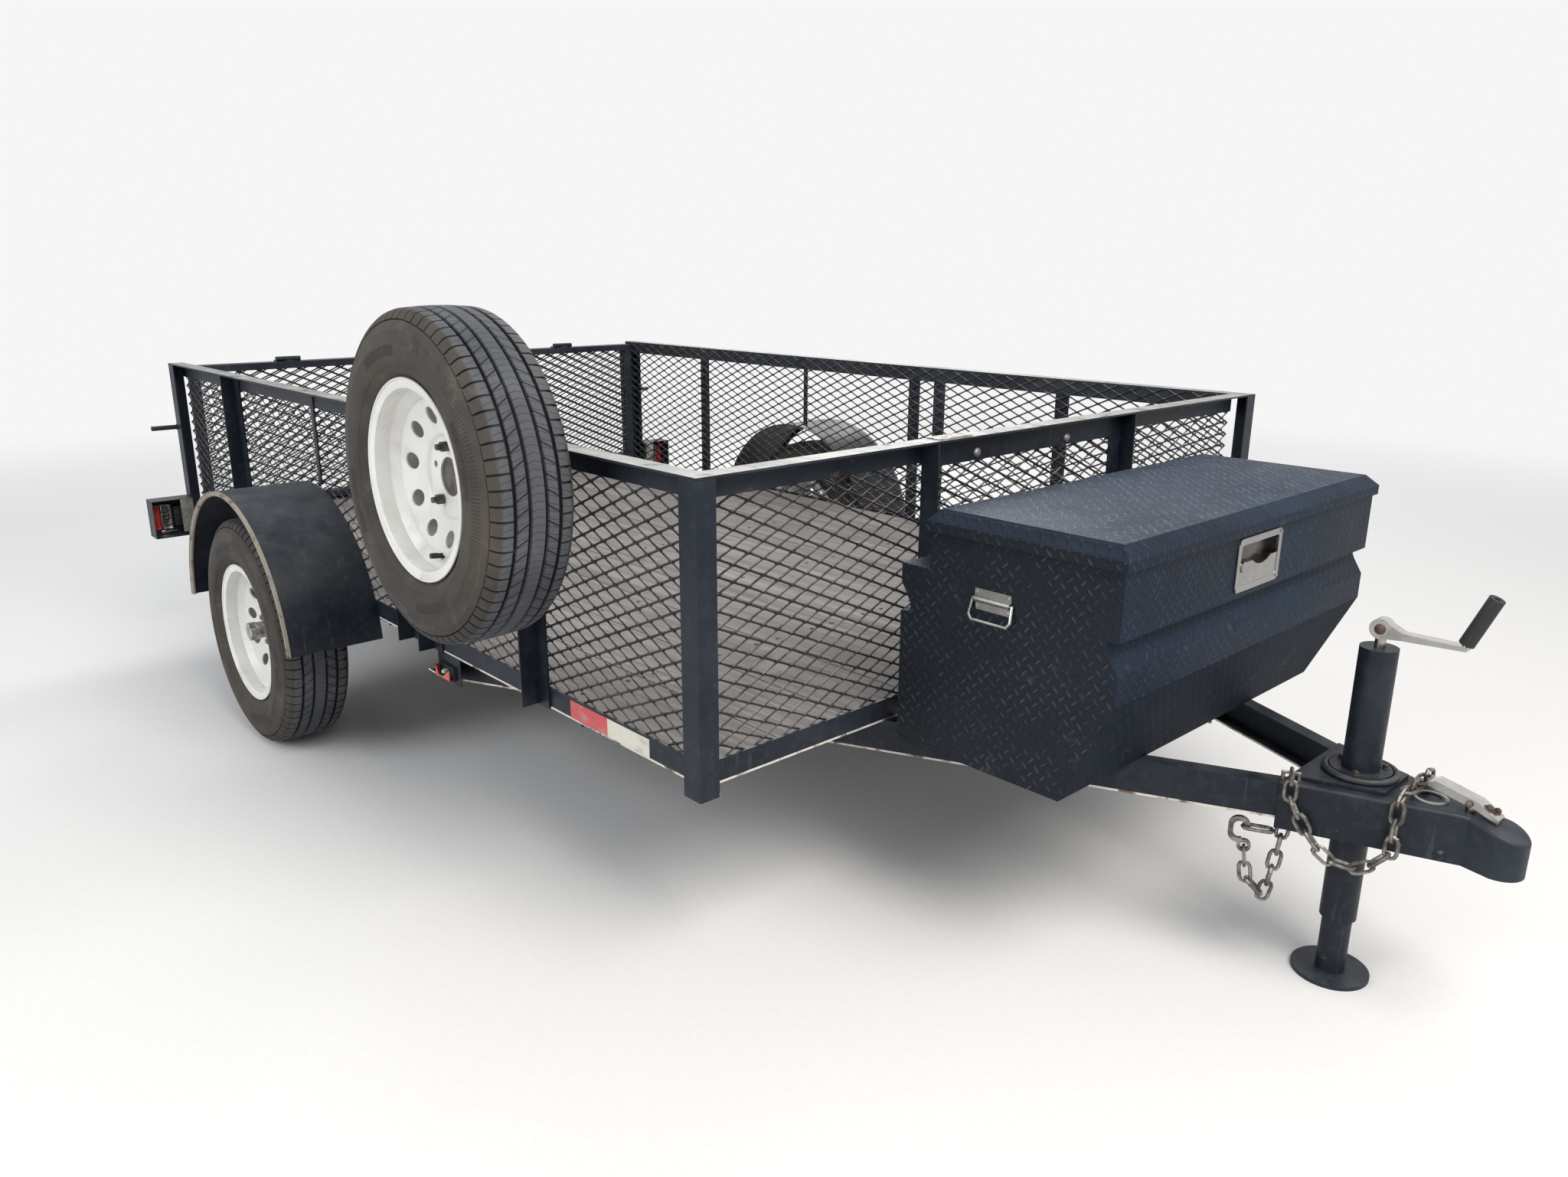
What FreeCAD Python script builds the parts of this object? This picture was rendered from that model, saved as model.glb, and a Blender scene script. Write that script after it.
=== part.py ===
"""Single-axle mesh-side utility trailer with a tongue toolbox, side spare and folding rear gate.

Millimetres, +X towards the coupler, +Y to the trailer's left, +Z up from the floor.
"""
import FreeCAD, Part
import math
import os

V = FreeCAD.Vector

# Bed: clear inside sizes, and the heights of its rails above the floor
BED_LENGTH = 3073.0
BED_WIDTH = 1981.0
RAIL_UNDERSIDE = 437.0
SIDE_TOP = 1056.0

# Rolled angle that the rails and posts are cut from
ANGLE_LEG = 50.8
ANGLE_T = 4.8
WELD_GAP = 0.3

# Posts: how far behind the bed's front edge each side post stands
SIDE_POSTS = (655.0, 1180.0, 1300.0, 2545.0)
FENDER_POST = 1860.0
FENDER_POST_WIDTH = 20.0
FRONT_POST_Y = 340.0

# Expanded mesh panels, drawn coarse: true openings are about a quarter of this pitch
MESH_T = 3.0
MESH_LONG = 300.0
MESH_SHORT = 150.0
MESH_STRAND = 7.0
MESH_MARGIN = 14.0

# Deck and cross members
PLANK_T = 38.0
PLANK_COUNT = 10
PLANK_GAP = 4.0
CROSS_SPACING = 610.0

# Tongue: three-inch channel in a fifty-degree A
CHANNEL_H = 76.2
CHANNEL_FLANGE = 35.8
CHANNEL_WEB = 4.5
TONGUE_ANGLE = 25.0
TONGUE_APEX = 986.0
TONGUE_FRONT = 880.0

# Coupler for a two-inch ball
BALL_R = 25.4
BALL_PLAY = 0.4
COUPLER_T = 5.0
COUPLER_REAR = 690.0
COUPLER_FALL = 965.0
COUPLER_EDGE_R = 9.0
COUPLER_RING_X = 916.0
COUPLER_RING_R = 24.0
SOCKET_X = 1043.0
NOSE_R = 45.0
NOSE_LOW = 342.0
NOSE_TOP = 412.0
LATCH_WIDTH = 34.0
LATCH_SHEET = 3.0
LATCH_FLANGE = 16.0
LATCH_PIN_X = 985.0
LATCH_PIN_R = 5.0

# Jack
JACK_X = 785.0
JACK_R = 35.0
JACK_WALL = 4.0
JACK_LOW = 130.0
JACK_TOP = 712.0
JACK_GUIDE = 25.0
GUIDE_CLEARANCE = 0.3
RAM_R = 28.5
RAM_WALL = 4.0
RAM_TOP = 600.0
JACK_COLLAR_R = 57.0
JACK_COLLAR = 12.0
FOOT_R = 75.0
FOOT_T = 8.0
CRANK_ARM = 150.0
CRANK_Z = 742.0
GRIP_R = 14.0
GRIP_LENGTH = 104.0
GRIP_LEAN = 21.0
SCREW_R = 10.0
RUN_CLEARANCE = 0.05

# Toolbox on the tongue
BOX_REAR = 35.0
BOX_FRONT = 543.0
BOX_WIDTH = 1067.0
BOX_SHEET = 3.0
BOX_STEP = 72.0
BOX_STEP_Z = 826.0
BOX_TOE = 100.0
BOX_SLOPE_Z = 655.0
BEAD_Z = 750.0
BEAD_R = 26.0
LID_BEVEL = 24.0
LID_SKIRT = 45.0
LID_TOP = 950.0
LID_PLAY = 5.0
LID_PIN_R = 2.5
LID_KNUCKLE_R = 5.0
LID_KNUCKLE = 80.0
LID_HINGE_Y = (-340.0, 340.0)

# The pressed bead's section: depth and rise, and how each corner moves with the sheet's thickness
BEAD = ((0.0, -36.0, 1.0, -0.6), (20.0, -4.0, 0.85, -0.5), (25.0, 6.0, 1.0, -0.2),
        (BEAD_R, 16.0, 1.0, 0.2), (22.0, 24.0, 0.7, 0.7), (0.0, BEAD_R, 1.0, 1.0))

# Paddle latch let into the toolbox's front, and the drop handles on its ends
PADDLE_Y = -30.0
PADDLE_Z = 843.0
PADDLE_WIDTH = 188.0
PADDLE_HEIGHT = 110.0
PADDLE_CORNER = 14.0
PADDLE_RIM = 12.0
PADDLE_PROUD = 3.0
PADDLE_DEEP = 17.0
PADDLE_SHEET = 1.5
THUMB_R = 70.0
THUMB_RISE = 62.0
LOCK_R = 11.0
LOCK_OFFSET = 66.0
HANDLE_X = 268.0
HANDLE_Z = 792.0
HANDLE_WIDTH = 86.0
HANDLE_PLATE = 42.0
HANDLE_SHEET = 1.5
BAIL_R = 3.2
BAIL_DROP = 40.0
BAIL_FLARE = 7.0

# Safety chains: round wire, and the inside length of one link
CHAIN_WIRE_R = 3.8
CHAIN_PITCH = 35.0
CHAIN_WIDTH = 29.0
CHAIN_SLACK = 1.9
STAPLE_BACK = 16.0
STAPLE_INSET = 8.0
STAPLE_PROUD = 1.5
FIRST_LINK = 42.0
SLACK_LINKS = 7
HANG_LINKS = 8
DRAPE_LINKS = 9
RUN_X = 889.0
RUN_Z = 357.0
RUN_GAP = 3.4
HOOK_T = 9.0
HOOK_OUT = 21.0
HOOK_BAR = 10.0
HOOK_BACK = 16.0
HOOK_END = 300.0
HOOK_EYE_X = 12.0
HOOK_EYE_Z = -34.0
HOOK_EYE_R = 13.5
HOOK_HOLE_R = 7.5
HOOK_BACKWARD = 81.0
HOOK_DROP = 45.0
CLEVIS_LENGTH = 48.0
BOLT_X = 957.0
BOLT_Z = 355.0
BOLT_R = 5.0
BOLT_HEAD_R = 11.0
BOLT_HEAD = 6.0

# Flat bar across the front, between its posts
STRAP_HEIGHT = 58.0
STRAP_T = 6.0

# Wheels: 205 section tyre on a fifteen-inch rim
AXLE_BACK = 1944.0
TYRE_R = 344.0
TYRE_WIDTH = 205.0
RIM_FLANGE_R = 208.0
RIM_SEAT_R = 190.0
RIM_WELL_R = 166.0
RIM_WIDTH = 168.0
RIM_SHEET = 4.0
WHEEL_Y = 1149.0
LUG_CIRCLE_R = 63.5
LUG_COUNT = 5
LUG_HOLE_R = 7.5
STUD_R = 6.35
NUT_R = 11.0
VENT_CIRCLE_R = 128.0
VENT_COUNT = 12
VENT_R = 11.0
PILOT_R = 41.0
HUB_R = 38.0
CAP_R = 25.0
CAP_OUT = 78.0
SPINDLE_R = 17.5
AXLE_R = 30.0
SPARE_BACK = 641.0
SPARE_Y = 1176.0
SPARE_Z = 988.0

# Springs
SPRING_Y = 968.0
SPRING_WIDTH = 44.0
SPRING_HALF = 320.0
SPRING_RADIUS = 3800.0
LEAF_T = 7.0
LEAF_HALVES = (320.0, 230.0, 140.0)
EYE_R = 13.0
PIN_R = 8.0
HANGER_T = 6.0
U_BOLT_R = 5.0

# Fenders
FENDER_R = 428.0
FENDER_T = 2.5
FENDER_OUT = 1262.0
FENDER_LIP_R = 7.0
FENDER_END_Z = 378.0

# Rear gate: two mesh leaves, the upper one folded down inside the lower one
GATE_TUBE = 25.4
GATE_SIDE_GAP = 9.0
GATE_SILL_GAP = 8.0
GATE_TOP_GAP = 12.0
GATE_LEAF_GAP = 8.0
GATE_HINGE_Y = 620.0
GATE_HINGE_BACK = 20.0
GATE_KNUCKLE_R = 13.0
GATE_KNUCKLE_HALF = 30.0
GATE_PIN_R = 8.0
FOLD_KNUCKLE_R = 9.0
FOLD_PIN_R = 5.0
FOLD_RISE = 10.0

# Lamps
LAMP_BOX_WIDTH = 140.0
LAMP_BOX_HEIGHT = 140.0
LAMP_BOX_DEPTH = 75.0
LAMP_BOX_Z = 425.0
LAMP_SHEET = 3.0
LENS_SIDE = 112.0
LENS_DEPTH = 26.0
MARKER_FRONT = 1040.0
MARKER_PLATE = 120.0
MARKER_LENS = 80.0
MARKER_DEPTH = 20.0

# Worked out from the sizes above
IN_Y = BED_WIDTH / 2
FACE_Y = IN_Y + ANGLE_T
FLANGE_Y = IN_Y + ANGLE_LEG
FRONT_IN = -ANGLE_LEG
REAR_X = FRONT_IN - BED_LENGTH
SEAT_Z = RAIL_UNDERSIDE + ANGLE_T
DECK_Z = SEAT_Z + PLANK_T
RAIL_TOP = RAIL_UNDERSIDE + ANGLE_LEG
BEAM_TOP = RAIL_UNDERSIDE
BEAM_LOW = BEAM_TOP - CHANNEL_H
AXLE_X = -AXLE_BACK
AXLE_Z = TYRE_R
TONGUE_SLOPE = math.tan(math.radians(TONGUE_ANGLE))
HINGE_X = REAR_X - GATE_HINGE_BACK
HINGE_Z = RAIL_TOP - 11.0
GATE_LOW = RAIL_TOP + GATE_SILL_GAP
GATE_HIGH = SIDE_TOP - GATE_TOP_GAP
GATE_Y = IN_Y - GATE_SIDE_GAP
FOLD_X = REAR_X + GATE_TUBE + GATE_LEAF_GAP / 2
FOLD_Z = GATE_HIGH + FOLD_RISE
BOX_LOW = BEAM_TOP
BOX_TOP = LID_TOP - BOX_SHEET - (LID_BEVEL - LID_PLAY) - WELD_GAP
LID_REAR = BOX_REAR + BOX_STEP - LID_PLAY - BOX_SHEET
BOX_Y = BOX_WIDTH / 2
CHAIN_BEND = CHAIN_WIDTH / 2 - CHAIN_WIRE_R
CHAIN_PLAY = CHAIN_BEND - 2 * CHAIN_WIRE_R - CHAIN_SLACK / 2
LID_HINGE_X = LID_REAR + BOX_SHEET / 2
LID_HINGE_Z = LID_TOP - LID_SKIRT
SOCKET_R = BALL_R + BALL_PLAY
SOCKET_Z = NOSE_LOW + 28.0


def block(x0, x1, y0, y1, z0, z1):
    """A box between two corners."""
    return Part.makeBox(x1 - x0, y1 - y0, z1 - z0, V(x0, y0, z0))


def prism(points, run):
    """A straight solid from a closed outline of vectors."""
    return Part.Face(Part.makePolygon(points + [points[0]])).extrude(run)


def along_x(section, x0, x1):
    """A (y, z) outline run from x0 to x1."""
    return prism([V(x0, y, z) for y, z in section], V(x1 - x0, 0, 0))


def along_y(section, y0, y1):
    """An (x, z) outline run from y0 to y1."""
    return prism([V(x, y0, z) for x, z in section], V(0, y1 - y0, 0))


def along_z(section, z0, z1):
    """An (x, y) outline run from z0 to z1."""
    return prism([V(x, y, z0) for x, y in section], V(0, 0, z1 - z0))


def rod(start, end, radius):
    """A round bar between two points."""
    run = end.sub(start)
    return Part.makeCylinder(radius, run.Length, start, run)


def tube(start, end, outer, inner):
    """A round tube between two points."""
    return rod(start, end, outer).cut(rod(start, end, inner))


def mirrored(shape):
    """The same piece on the trailer's other side."""
    return shape.mirror(V(0, 0, 0), V(0, 1, 0))


def both_sides(shape):
    """A piece and its mirror image, as separate solids."""
    return [shape, mirrored(shape)]


def fused(shapes):
    """One solid from pieces that touch."""
    solid = shapes[0].multiFuse(shapes[1:]) if len(shapes) > 1 else shapes[0]
    return solid.removeSplitter()


def angle_section(heel_u, heel_v, run_u, run_v, leg_u=ANGLE_LEG, leg_v=ANGLE_LEG):
    """The outline of an angle from its heel, its legs running the way of run_u and run_v."""
    u1 = heel_u + run_u * leg_u
    v1 = heel_v + run_v * leg_v
    tu = heel_u + run_u * ANGLE_T
    tv = heel_v + run_v * ANGLE_T
    return [(heel_u, heel_v), (u1, heel_v), (u1, tv), (tu, tv), (tu, v1), (heel_u, v1)]


def ring_about_y(profile, centre):
    """A (y, radius) outline turned about a cross-wise axis through the centre."""
    points = [V(centre.x, centre.y + y, centre.z + r) for y, r in profile]
    face = Part.Face(Part.makePolygon(points + [points[0]]))
    return face.revolve(centre, V(0, 1, 0), 360)


def clipped(points, low, high):
    """A convex outline of (u, v) points cut back to a rectangle."""
    for axis in (0, 1):
        for bound, side in ((low[axis], 1), (high[axis], -1)):
            kept = []
            for i, here in enumerate(points):
                last = points[i - 1]
                inside = (here[axis] - bound) * side
                before = (last[axis] - bound) * side
                if inside * before < 0:
                    t = before / (before - inside)
                    kept.append((last[0] + t * (here[0] - last[0]), last[1] + t * (here[1] - last[1])))
                if inside >= 0:
                    kept.append(here)
            points = kept
            if len(points) < 3:
                return []
    return points


def mitred_bar(points, radius, sides=6, closed=False):
    """A many-sided bar along straight runs, mitred where they meet."""
    count = len(points)
    runs = [(points[(i + 1) % count] - points[i]).normalize() for i in range(count if closed else count - 1)]
    aside = runs[0].cross(V(0, 0, 1) if abs(runs[0].z) < 0.9 else V(1, 0, 0)).normalize()
    up = runs[0].cross(aside)
    turns = [2 * math.pi * k / sides for k in range(sides)]
    offsets = [aside * (radius * math.cos(a)) + up * (radius * math.sin(a)) for a in turns]
    rings = []
    for i, point in enumerate(points):
        before = runs[i - 1] if closed or i else runs[0]
        after = runs[i] if i < len(runs) else before
        mitre = (before + after).normalize()
        along = before if i else after
        rings.append([point + o - along * (o.dot(mitre) / along.dot(mitre)) for o in offsets])
        offsets = [spot - point - after * (spot - point).dot(after) for spot in rings[-1]]
    faces = []
    for i in range(len(runs)):
        here = rings[i]
        there = rings[(i + 1) % count]
        for k in range(sides):
            n = (k + 1) % sides
            faces.append(Part.Face(Part.makePolygon([here[k], here[n], there[n], there[k], here[k]])))
    if not closed:
        faces += [Part.Face(Part.makePolygon(ring + ring[:1])) for ring in (rings[0], rings[-1])]
    solid = Part.Solid(Part.Shell(faces))
    return solid if solid.Volume > 0 else solid.reversed()


def paced(route, steps):
    """Points along a line of straight runs, each a given step from the last."""
    spots = [route[0]]
    for start, end in zip(route, route[1:]):
        run = end - start
        while len(spots) <= len(steps):
            back = start - spots[-1]
            half_b = run.dot(back)
            room = half_b * half_b - run.dot(run) * (back.dot(back) - steps[len(spots) - 1] ** 2)
            share = (math.sqrt(max(room, 0.0)) - half_b) / run.dot(run)
            if room < 0 or not 0 <= share <= 1:
                break
            spots.append(start + run * share)
    return spots


def hung(start, end, steps):
    """The pivots of a slack chain between two points."""
    low = 0.0
    high = sum(steps)
    for _ in range(40):
        sag = (low + high) / 2
        route = [start + (end - start) * (i / 48) - V(0, 0, 4 * sag * i * (48 - i) / 48 ** 2) for i in range(49)]
        spots = paced(route, steps)
        low, high = (low, sag) if len(spots) > len(steps) else (sag, high)
    return paced(route, steps)[:len(steps)] + [end]


def outline_area(points):
    """The area inside a (u, v) outline."""
    turns = [points[i - 1][0] * p[1] - p[0] * points[i - 1][1] for i, p in enumerate(points)]
    return abs(sum(turns)) / 2


def mesh_panel(length, height, place, thickness):
    """A plate of staggered diamond openings; place maps (u, v) to a point."""
    across = max(1, round(length / MESH_LONG))
    up = max(1, round(height / MESH_SHORT))
    pitch_u = length / across
    pitch_v = height / up
    reach = math.hypot(pitch_u / 2, pitch_v / 2)
    clear = 1 - MESH_STRAND / 2 / (pitch_u / 2 * pitch_v / 2 / reach)
    half_u = pitch_u / 2 * clear
    half_v = pitch_v / 2 * clear
    low = (MESH_MARGIN, MESH_MARGIN)
    high = (length - MESH_MARGIN, height - MESH_MARGIN)
    sheet = [(0, 0), (length, 0), (length, height), (0, height)]
    wires = [Part.makePolygon([place(u, v) for u, v in sheet + sheet[:1]])]
    for row in range(2 * up + 1):
        for column in range(row % 2, 2 * across + 1, 2):
            u = column * pitch_u / 2
            v = row * pitch_v / 2
            diamond = [(u - half_u, v), (u, v - half_v), (u + half_u, v), (u, v + half_v)]
            hole = clipped(diamond, low, high)
            if len(hole) > 2 and outline_area(hole) > MESH_STRAND * MESH_STRAND:
                wires.append(Part.makePolygon([place(a, b) for a, b in hole + hole[:1]]))
    return Part.Face(wires, "Part::FaceMakerBullseye").extrude(thickness)


def bottom_rails():
    """The four angles round the deck: standing leg outside, flat leg inwards under the planks."""
    side = angle_section(FACE_Y, RAIL_UNDERSIDE, -1, 1)
    left = along_x(side, REAR_X + ANGLE_T + WELD_GAP, -ANGLE_T - WELD_GAP)
    front_section = angle_section(FRONT_IN + ANGLE_T, RAIL_UNDERSIDE, -1, 1)
    inner = IN_Y - WELD_GAP
    front = along_y(front_section, -inner, inner)
    rear_section = angle_section(REAR_X, RAIL_UNDERSIDE, 1, 1)
    rear = along_y(rear_section, -FACE_Y, FACE_Y)
    left = left.cut(block(FRONT_IN - ANGLE_LEG, 0, 0, IN_Y, RAIL_UNDERSIDE, SEAT_Z))
    left = left.cut(block(REAR_X, REAR_X + ANGLE_LEG + WELD_GAP, 0, IN_Y, RAIL_UNDERSIDE, SEAT_Z))
    return both_sides(left) + [front, rear]


def top_rails():
    """Three angles: standing leg against the mesh, flange outwards."""
    side = angle_section(IN_Y, SIDE_TOP, 1, -1)
    left = along_x(side, REAR_X, FRONT_IN - WELD_GAP)
    end_section = angle_section(FRONT_IN, SIDE_TOP, 1, -1)
    front = along_y(end_section, -IN_Y, IN_Y)
    flange = block(FRONT_IN, 0, -FLANGE_Y, FLANGE_Y, SIDE_TOP - ANGLE_T, SIDE_TOP)
    return both_sides(left) + [fused([front, flange])]


def posts():
    """Angle posts outside the rails, under the top flange."""
    top = SIDE_TOP - ANGLE_T - WELD_GAP
    face = FACE_Y + WELD_GAP
    solids = []
    for back in SIDE_POSTS:
        outward = FLANGE_Y - face
        section = angle_section(-back, face, 1, 1, leg_v=outward)
        solids += both_sides(along_z(section, RAIL_UNDERSIDE, top))
    for corner in (0.0, REAR_X):
        run = -1 if corner == 0.0 else 1
        section = angle_section(corner, FLANGE_Y, run, -1, leg_v=FLANGE_Y - face)
        solids += both_sides(along_z(section, RAIL_UNDERSIDE, top))
    face_x = FRONT_IN + ANGLE_T + WELD_GAP
    section = angle_section(face_x, FRONT_POST_Y + ANGLE_LEG, 1, -1, leg_u=-face_x)
    solids += both_sides(along_z(section, RAIL_UNDERSIDE, top))
    half = FENDER_POST_WIDTH / 2
    foot = AXLE_Z + FENDER_R + 2 * FENDER_T
    thin = block(-FENDER_POST - half, -FENDER_POST + half, face, face + ANGLE_T, foot, top)
    return solids + both_sides(thin)


def side_mesh(side):
    """One long panel against the inside of a side's rails."""
    x0 = REAR_X + ANGLE_T + 2.0
    z0 = SEAT_Z + 1.0
    length = FRONT_IN - MESH_T - 2.0 - x0
    height = SIDE_TOP - ANGLE_T - z0
    panel = mesh_panel(length, height, lambda u, v: V(x0 + u, IN_Y - MESH_T, z0 + v), V(0, MESH_T, 0))
    return panel if side > 0 else mirrored(panel)


def front_mesh():
    """The panel across the front, against the rails' inside."""
    half = IN_Y - 1.0
    z0 = SEAT_Z + 1.0
    height = SIDE_TOP - ANGLE_T - z0
    x = FRONT_IN - MESH_T
    return mesh_panel(2 * half, height, lambda u, v: V(x, u - half, z0 + v), V(MESH_T, 0, 0))


def deck_planks():
    """Boards laid lengthwise on the rails' flat legs and the cross members."""
    half = IN_Y - MESH_T - 2.0
    pitch = (2 * half + PLANK_GAP) / PLANK_COUNT
    x0 = REAR_X + ANGLE_T + 2.0
    x1 = FRONT_IN - MESH_T - 2.0
    return [block(x0, x1, -half + i * pitch, -half + (i + 1) * pitch - PLANK_GAP, SEAT_Z, DECK_Z)
            for i in range(PLANK_COUNT)]


def tongue_beams():
    """Channel beams from the coupler back under the bed to its side rails, webs outward."""
    web = [(0, 0), (0, CHANNEL_H), (-CHANNEL_FLANGE, CHANNEL_H), (-CHANNEL_FLANGE, CHANNEL_H - CHANNEL_WEB),
           (-CHANNEL_WEB, CHANNEL_H - CHANNEL_WEB), (-CHANNEL_WEB, CHANNEL_WEB),
           (-CHANNEL_FLANGE, CHANNEL_WEB), (-CHANNEL_FLANGE, 0)]
    beam = along_x([(y, BEAM_LOW + z) for y, z in web], -BED_LENGTH, BED_WIDTH / 4)
    beam = beam.rotate(V(0, 0, 0), V(0, 0, 1), -TONGUE_ANGLE)
    beam.translate(V(TONGUE_APEX, 0, 0))
    keep = block(REAR_X, TONGUE_FRONT, 0, FACE_Y, BEAM_LOW - 1, BEAM_TOP + 1)
    return both_sides(beam.common(keep))


def tongue_half_width(x):
    """How far the beams' outer faces stand from the middle at x."""
    return (TONGUE_APEX - x) * TONGUE_SLOPE


def cross_members():
    """Angles across the frame, flat leg up, coped where the tongue beams pass under them."""
    half = FACE_Y - ANGLE_LEG - WELD_GAP
    count = int(BED_LENGTH // CROSS_SPACING)
    pitch = BED_LENGTH / (count + 1)
    beam_half = CHANNEL_FLANGE / math.cos(math.radians(TONGUE_ANGLE)) + 6.0
    solids = []
    for i in range(1, count + 1):
        x = REAR_X + i * pitch
        section = angle_section(x, SEAT_Z, 1, -1)
        bar = along_y(section, -half, half)
        for side in (-1, 1):
            edge = tongue_half_width(x)
            if edge < half + 30:
                near = side * (edge + 30.0)
                far = side * (edge - beam_half - 30.0)
                cope = block(x - 1, x + ANGLE_LEG + 1, min(near, far), max(near, far),
                             BEAM_LOW, BEAM_TOP + WELD_GAP)
                bar = bar.cut(cope)
        solids.append(bar)
    return solids


def front_strap():
    """The flat bar across the front, on the top rail's standing leg between the posts."""
    x = FRONT_IN + ANGLE_T + WELD_GAP
    top = SIDE_TOP - ANGLE_T - WELD_GAP
    half = FRONT_POST_Y - WELD_GAP
    return block(x, x + STRAP_T, -half, half, top - STRAP_HEIGHT, top)


def coupler_neck(inset):
    """Where the coupler's straight flanks end: (x, half width)."""
    nose = NOSE_R - inset
    x = SOCKET_X - 10.0 - nose * 0.9
    flank = (COUPLER_T - inset) / math.cos(math.radians(TONGUE_ANGLE))
    return x, max(tongue_half_width(x) + flank, nose * 0.72)


def coupler_half_width(x, inset=0.0):
    """How far the coupler's flank stands from the middle at x."""
    neck_x, neck_y = coupler_neck(inset)
    rear_y = tongue_half_width(COUPLER_REAR) + (COUPLER_T - inset) / math.cos(math.radians(TONGUE_ANGLE))
    return rear_y + (x - COUPLER_REAR) * (neck_y - rear_y) / (neck_x - COUPLER_REAR)


def coupler_outline(inset):
    """The coupler seen from above: straight flanks along the beams and a round nose."""
    nose = NOSE_R - inset
    rear = COUPLER_REAR + (0 if inset == 0 else -10)
    rear_y = coupler_half_width(rear, inset)
    neck_x, neck_y = coupler_neck(inset)
    points = [V(rear, -rear_y, 0), V(neck_x, -neck_y, 0), V(SOCKET_X, -nose, 0)]
    arc = Part.Arc(points[2], V(SOCKET_X + nose, 0, 0), V(SOCKET_X, nose, 0)).toShape()
    edges = [Part.makeLine(points[0], points[1]), Part.makeLine(points[1], points[2]), arc,
             Part.makeLine(V(SOCKET_X, nose, 0), V(neck_x, neck_y, 0)),
             Part.makeLine(V(neck_x, neck_y, 0), V(rear, rear_y, 0)),
             Part.makeLine(V(rear, rear_y, 0), points[0])]
    return Part.Face(Part.Wire(edges))


def coupler():
    """The pressed coupler: a cap over the beams' ends with a ball socket in its nose."""
    top = BEAM_TOP + COUPLER_T
    tip = SOCKET_X + NOSE_R
    shell = coupler_outline(0).extrude(V(0, 0, top - NOSE_LOW))
    shell.translate(V(0, 0, NOSE_LOW))
    crown = Part.Arc(V(COUPLER_FALL, 0, top), V((COUPLER_FALL + tip) / 2, 0, (3 * top + NOSE_TOP) / 4),
                     V(tip, 0, NOSE_TOP)).toShape()
    above = Part.Wire([crown, Part.makeLine(V(tip, 0, NOSE_TOP), V(tip + 1, 0, top + 1)),
                       Part.makeLine(V(tip + 1, 0, top + 1), V(COUPLER_FALL, 0, top + 1)),
                       Part.makeLine(V(COUPLER_FALL, 0, top + 1), V(COUPLER_FALL, 0, top))])
    falling = Part.Face(above).extrude(V(0, 200, 0))
    falling.translate(V(0, -100, 0))
    shell = shell.cut(falling)
    rim = [e for e in shell.Edges if e.BoundBox.ZMin > NOSE_TOP - 1 and e.BoundBox.XMax > COUPLER_REAR + 5
           and abs(e.CenterOfMass.y) > 1]
    shell = shell.makeFillet(COUPLER_EDGE_R, rim)
    inner = coupler_outline(COUPLER_T).extrude(V(0, 0, BEAM_TOP - NOSE_LOW + 20))
    inner.translate(V(0, 0, NOSE_LOW - 20))
    inner = inner.common(block(COUPLER_REAR - 20, SOCKET_X - NOSE_R - 8, -400, 400, 0, BEAM_TOP))
    body = shell.cut(inner)
    cavity = Part.makeSphere(SOCKET_R, V(SOCKET_X, 0, SOCKET_Z))
    throat = rod(V(SOCKET_X, 0, NOSE_LOW - 5), V(SOCKET_X, 0, SOCKET_Z), SOCKET_R)
    ring = tube(V(COUPLER_RING_X, 0, top), V(COUPLER_RING_X, 0, top + 2), COUPLER_RING_R, COUPLER_RING_R - 5)
    jack_hole = rod(V(JACK_X, 0, BEAM_TOP - 1), V(JACK_X, 0, top + 1), JACK_R + 1.0)
    wall = coupler_half_width(BOLT_X) - COUPLER_T / 2
    reach = wall + COUPLER_T / 2 + BOLT_HEAD
    pieces = [body.cut(cavity).cut(throat).cut(jack_hole), ring]
    pieces.append(rod(V(BOLT_X, -wall, BOLT_Z), V(BOLT_X, wall, BOLT_Z), BOLT_R))
    for side in (-1, 1):
        pieces.append(Part.makeCone(BOLT_HEAD_R, BOLT_HEAD_R * 0.6, reach - wall, V(BOLT_X, side * wall, BOLT_Z),
                                    V(0, side, 0)))
    return fused(pieces)


def coupler_latch():
    """The latch lever on the coupler's top: a pressed channel, its front flap bent down, on a pinned post."""
    top = BEAM_TOP + COUPLER_T
    half = LATCH_WIDTH / 2
    back = [(912, top + 36), (924, top + 43), (1000, top + 25), (1036, top + 2)]
    lifts = [LATCH_FLANGE * share for share in (0.4, 1, 1, 0.6)]

    def channel(points, reach):
        low = [(x, z - lift) for (x, z), lift in zip(points, lifts)]
        return along_y(points + low[::-1], -reach, reach)

    inside = [(x - 1, z - LATCH_SHEET) for x, z in back]
    inside[-1] = (inside[-1][0] + 2 * LATCH_SHEET, inside[-1][1] - LATCH_SHEET)
    lever = channel(back, half).cut(channel(inside, half - LATCH_SHEET))
    flap = (back[2][0] + back[3][0]) / 2
    hole_z = (back[2][1] + back[3][1]) / 2
    lever = lever.cut(rod(V(flap, -7, hole_z + 20), V(flap - 12, -7, hole_z - 10), 4.5))
    lever = lever.cut(rod(V(flap + 8, 7, hole_z + 20), V(flap - 4, 7, hole_z - 10), 4.5))
    post = rod(V(LATCH_PIN_X, 0, top), V(LATCH_PIN_X, 0, top + 24), 9)
    pin = rod(V(LATCH_PIN_X, -half - 4, top + 18), V(LATCH_PIN_X, half + 4, top + 18), LATCH_PIN_R)
    return fused([lever, post, pin])


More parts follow.
